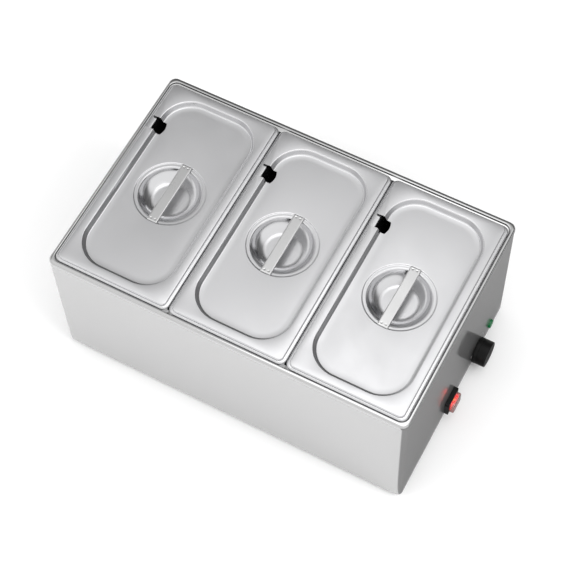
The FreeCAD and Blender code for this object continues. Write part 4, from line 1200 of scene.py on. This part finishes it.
CARRIED = {
    "zinc": ("Zinc-plated steel", plated, (linear("C9CACB"), 0.3)),
    "rubber": ("Moulded black rubber", moulding, (linear("1C1C1C"), 0.7)),
    "ceramic": ("Unglazed ceramic", moulding, (linear("E6E1D2"), 0.6)),
    "copper": ("Bare drawn copper", plated, (linear("C9825C"), 0.3)),
    "sheath": ("Heat-darkened heater sheath", plated, (linear("5A5753"), 0.45)),
    "brass": ("Bare stamped brass", plated, (linear("C9A659"), 0.3)),
    "black": ("Black nylon moulding", moulding, (linear("161616"), 0.45)),
    "brown": ("Brown silicone insulation", moulding, (linear("6B4226"), 0.5)),
    "blue": ("Blue silicone insulation", moulding, (linear("2C5FA8"), 0.5)),
    "earth": ("Green and yellow insulation", moulding, (linear("7FA52B"), 0.5)),
}

SLOT_FINISH = {
    "plated_steel": "zinc",
    "rubber": "rubber",
    "ceramic": "ceramic",
    "copper_tube": "copper",
    "element_sheath": "sheath",
    "brass": "brass",
    "black_plastic": "black",
    "brown_insulation": "brown",
    "blue_insulation": "blue",
    "earth_insulation": "earth",
}


class STEAM_OT_inside(bpy.types.Operator):
    """Give the feet, fasteners, heater and wiring their finishes"""

    bl_idname = "steam.inside"
    bl_label = "Underside and inside"

    def execute(self, context):
        slots = {row["node"]: row["material_slot"] for row in frame["record"]["subparts"]}
        base = housing_steel(context.scene.steam_sheet)
        for name, obj in frame["nodes"].items():
            if obj.hide_render:
                continue
            finish = SLOT_FINISH.get(slots[name])
            material = base
            if finish is not None:
                title, maker, values = CARRIED[finish]
                material = material_named(title, maker, *values)
            obj.data.materials.clear()
            obj.data.materials.append(material)
        return {"FINISHED"}


# Stage. Spots and sizes are in metres.

FLOOR_REACH = 6.0
CARD_START = 0.2608
CARD_END = 1.3
CARD_HALF = 0.7
CARD_HEIGHT = 0.001
LENS = 109.0
SENSOR = 36.0
SHIFT = (-0.01526, -0.02979)
CAMERA_SPOT = (0.58288, -1.01874, 2.27225)
CAMERA_TURN = (0.507991, 0.018062, 0.487105)


def area_light(name, spot, target, size, power):
    """A soft box at a spot, turned towards a target."""
    light = bpy.data.lights.new(name, "AREA")
    light.shape = "RECTANGLE"
    light.size, light.size_y = size
    light.energy = power
    obj = bpy.data.objects.new(name, light)
    bpy.context.scene.collection.objects.link(obj)
    obj.location = spot
    obj.rotation_euler = (Vector(target) - Vector(spot)).to_track_quat("-Z", "Y").to_euler()
    return obj


def flat_sheet(name, low, high, height, material):
    """A flat sheet between two corners."""
    mesh = bpy.data.meshes.new(name)
    bm = bmesh.new()
    corners = ((low[0], low[1]), (high[0], low[1]), (high[0], high[1]), (low[0], high[1]))
    bm.faces.new([bm.verts.new((x, y, height)) for x, y in corners])
    bm.to_mesh(mesh)
    bm.free()
    obj = bpy.data.objects.new(name, mesh)
    bpy.context.scene.collection.objects.link(obj)
    obj.data.materials.append(material)
    return obj


def graded_surround(strength):
    """A bright ceiling over dim walls, with a bright wall low on the left."""
    world = bpy.data.worlds.new("Graded surround")
    world.use_nodes = True
    tree = world.node_tree
    coordinates = add(tree, "ShaderNodeTexCoord")
    direction = add(tree, "ShaderNodeSeparateXYZ", None, {0: coordinates.outputs["Generated"]})
    lean = add(
        tree,
        "ShaderNodeVectorMath",
        {1: (0.3, -0.6, 1.0)},
        {0: coordinates.outputs["Generated"]},
        operation="DOT_PRODUCT",
    )
    ramp = add(tree, "ShaderNodeValToRGB", None, {"Fac": lean.outputs["Value"]})
    stops = ramp.color_ramp.elements
    stops[0].color = (0.12, 0.12, 0.12, 1)
    stops[1].position = 0.62
    for position, grey in ((0.36, 0.16), (0.44, 0.34), (0.50, 0.60), (0.55, 0.84)):
        stop = stops.new(position)
        stop.color = (grey, grey, grey, 1)
    leftwards = spread(tree, direction.outputs["X"], 0.0, 1.0, -0.35, -0.8)
    below = spread(tree, direction.outputs["Z"], 0.0, 0.95, 0.7, 0.45)
    wall = add(tree, "ShaderNodeMath", None, {0: leftwards, 1: below}, operation="MULTIPLY")
    level = add(
        tree,
        "ShaderNodeMath",
        None,
        {0: ramp.outputs["Color"], 1: wall.outputs[0]},
        operation="MAXIMUM",
    )
    background = tree.nodes["Background"]
    tree.links.new(level.outputs[0], background.inputs["Color"])
    background.inputs["Strength"].default_value = strength
    return world


class STEAM_OT_stage(bpy.types.Operator):
    """Build the plain floor, the soft light and the camera"""

    bl_idname = "steam.stage"
    bl_label = "Stage"

    def execute(self, context):
        settings = context.scene.steam_stage
        pale = moulding("Plain pale floor", settings.floor, 0.9, 0.0)
        corner = (FLOOR_REACH, FLOOR_REACH)
        flat_sheet("floor", (-FLOOR_REACH, -FLOOR_REACH), corner, 0.0, pale)

        # Painted shade: a dark grey card flat on the floor by the control end, hidden from the
        # camera, from diffuse light and from shadows, so that the control end mirrors a shaded
        # floor.
        grey = moulding("Matt grey painted shade card", (0.34, 0.34, 0.34), 0.9, 0.0)
        start, end = (CARD_START, -CARD_HALF), (CARD_END, CARD_HALF)
        card = flat_sheet("painted_shade_card", start, end, CARD_HEIGHT, grey)
        card.visible_camera = card.visible_diffuse = card.visible_shadow = False

        context.scene.world = graded_surround(settings.surround)
        area_light("top_box", (0.1, 0.3, 2.2), (0, 0, 0.2), (1.3, 1.1), settings.top_light)
        key = area_light("key_box", (-1.6, -1.5, 2.2), (0, 0, 0.1), (1.4, 1.4), settings.key_light)
        fill = area_light("fill_box", (2.0, -0.2, 2.2), (0.3, 0, 0), (1.6, 1.6), settings.fill_light)
        key.visible_glossy = fill.visible_glossy = False

        camera = bpy.data.cameras.new("camera")
        camera.sensor_width = SENSOR
        camera.lens = LENS
        camera.shift_x, camera.shift_y = SHIFT
        camera.clip_end = 20
        obj = bpy.data.objects.new("camera", camera)
        context.scene.collection.objects.link(obj)
        obj.location = CAMERA_SPOT
        obj.rotation_euler = CAMERA_TURN
        context.scene.camera = obj
        context.scene.view_settings.view_transform = "Standard"
        return {"FINISHED"}


PIECES = (
    STEAM_OT_housing,
    STEAM_OT_tank,
    STEAM_OT_pans,
    STEAM_OT_lids,
    STEAM_OT_straps,
    STEAM_OT_knob,
    STEAM_OT_scale,
    STEAM_OT_lamp,
    STEAM_OT_switch,
    STEAM_OT_inside,
    STEAM_OT_stage,
)

SETTINGS = {
    "steam_sheet": STEAM_PG_sheet,
    "steam_lids": STEAM_PG_lids,
    "steam_controls": STEAM_PG_controls,
    "steam_stage": STEAM_PG_stage,
}


class STEAM_PT_panel(bpy.types.Panel):
    """Lists the pieces and their settings"""

    bl_idname = "STEAM_PT_panel"
    bl_label = "Steam table"
    bl_space_type = "VIEW_3D"
    bl_region_type = "UI"
    bl_category = "Steam table"

    def draw(self, context):
        for name, group in SETTINGS.items():
            box = self.layout.box()
            for key in group.__annotations__:
                box.prop(getattr(context.scene, name), key)
        for piece in PIECES:
            self.layout.operator(piece.bl_idname)


def register():
    for group in SETTINGS.values():
        bpy.utils.register_class(group)
    for name, group in SETTINGS.items():
        setattr(bpy.types.Scene, name, bpy.props.PointerProperty(type=group))
    for piece in PIECES:
        bpy.utils.register_class(piece)
    bpy.utils.register_class(STEAM_PT_panel)


def unregister():
    bpy.utils.unregister_class(STEAM_PT_panel)
    for piece in reversed(PIECES):
        bpy.utils.unregister_class(piece)
    for name in SETTINGS:
        delattr(bpy.types.Scene, name)
    for group in reversed(list(SETTINGS.values())):
        bpy.utils.unregister_class(group)


def main():
    register()
    for piece in PIECES:
        group, name = piece.bl_idname.split(".")
        result = getattr(getattr(bpy.ops, group), name)()
        if result != {"FINISHED"}:
            raise RuntimeError(piece.bl_label + " wasn't built")


if __name__ == "__main__":
    main()
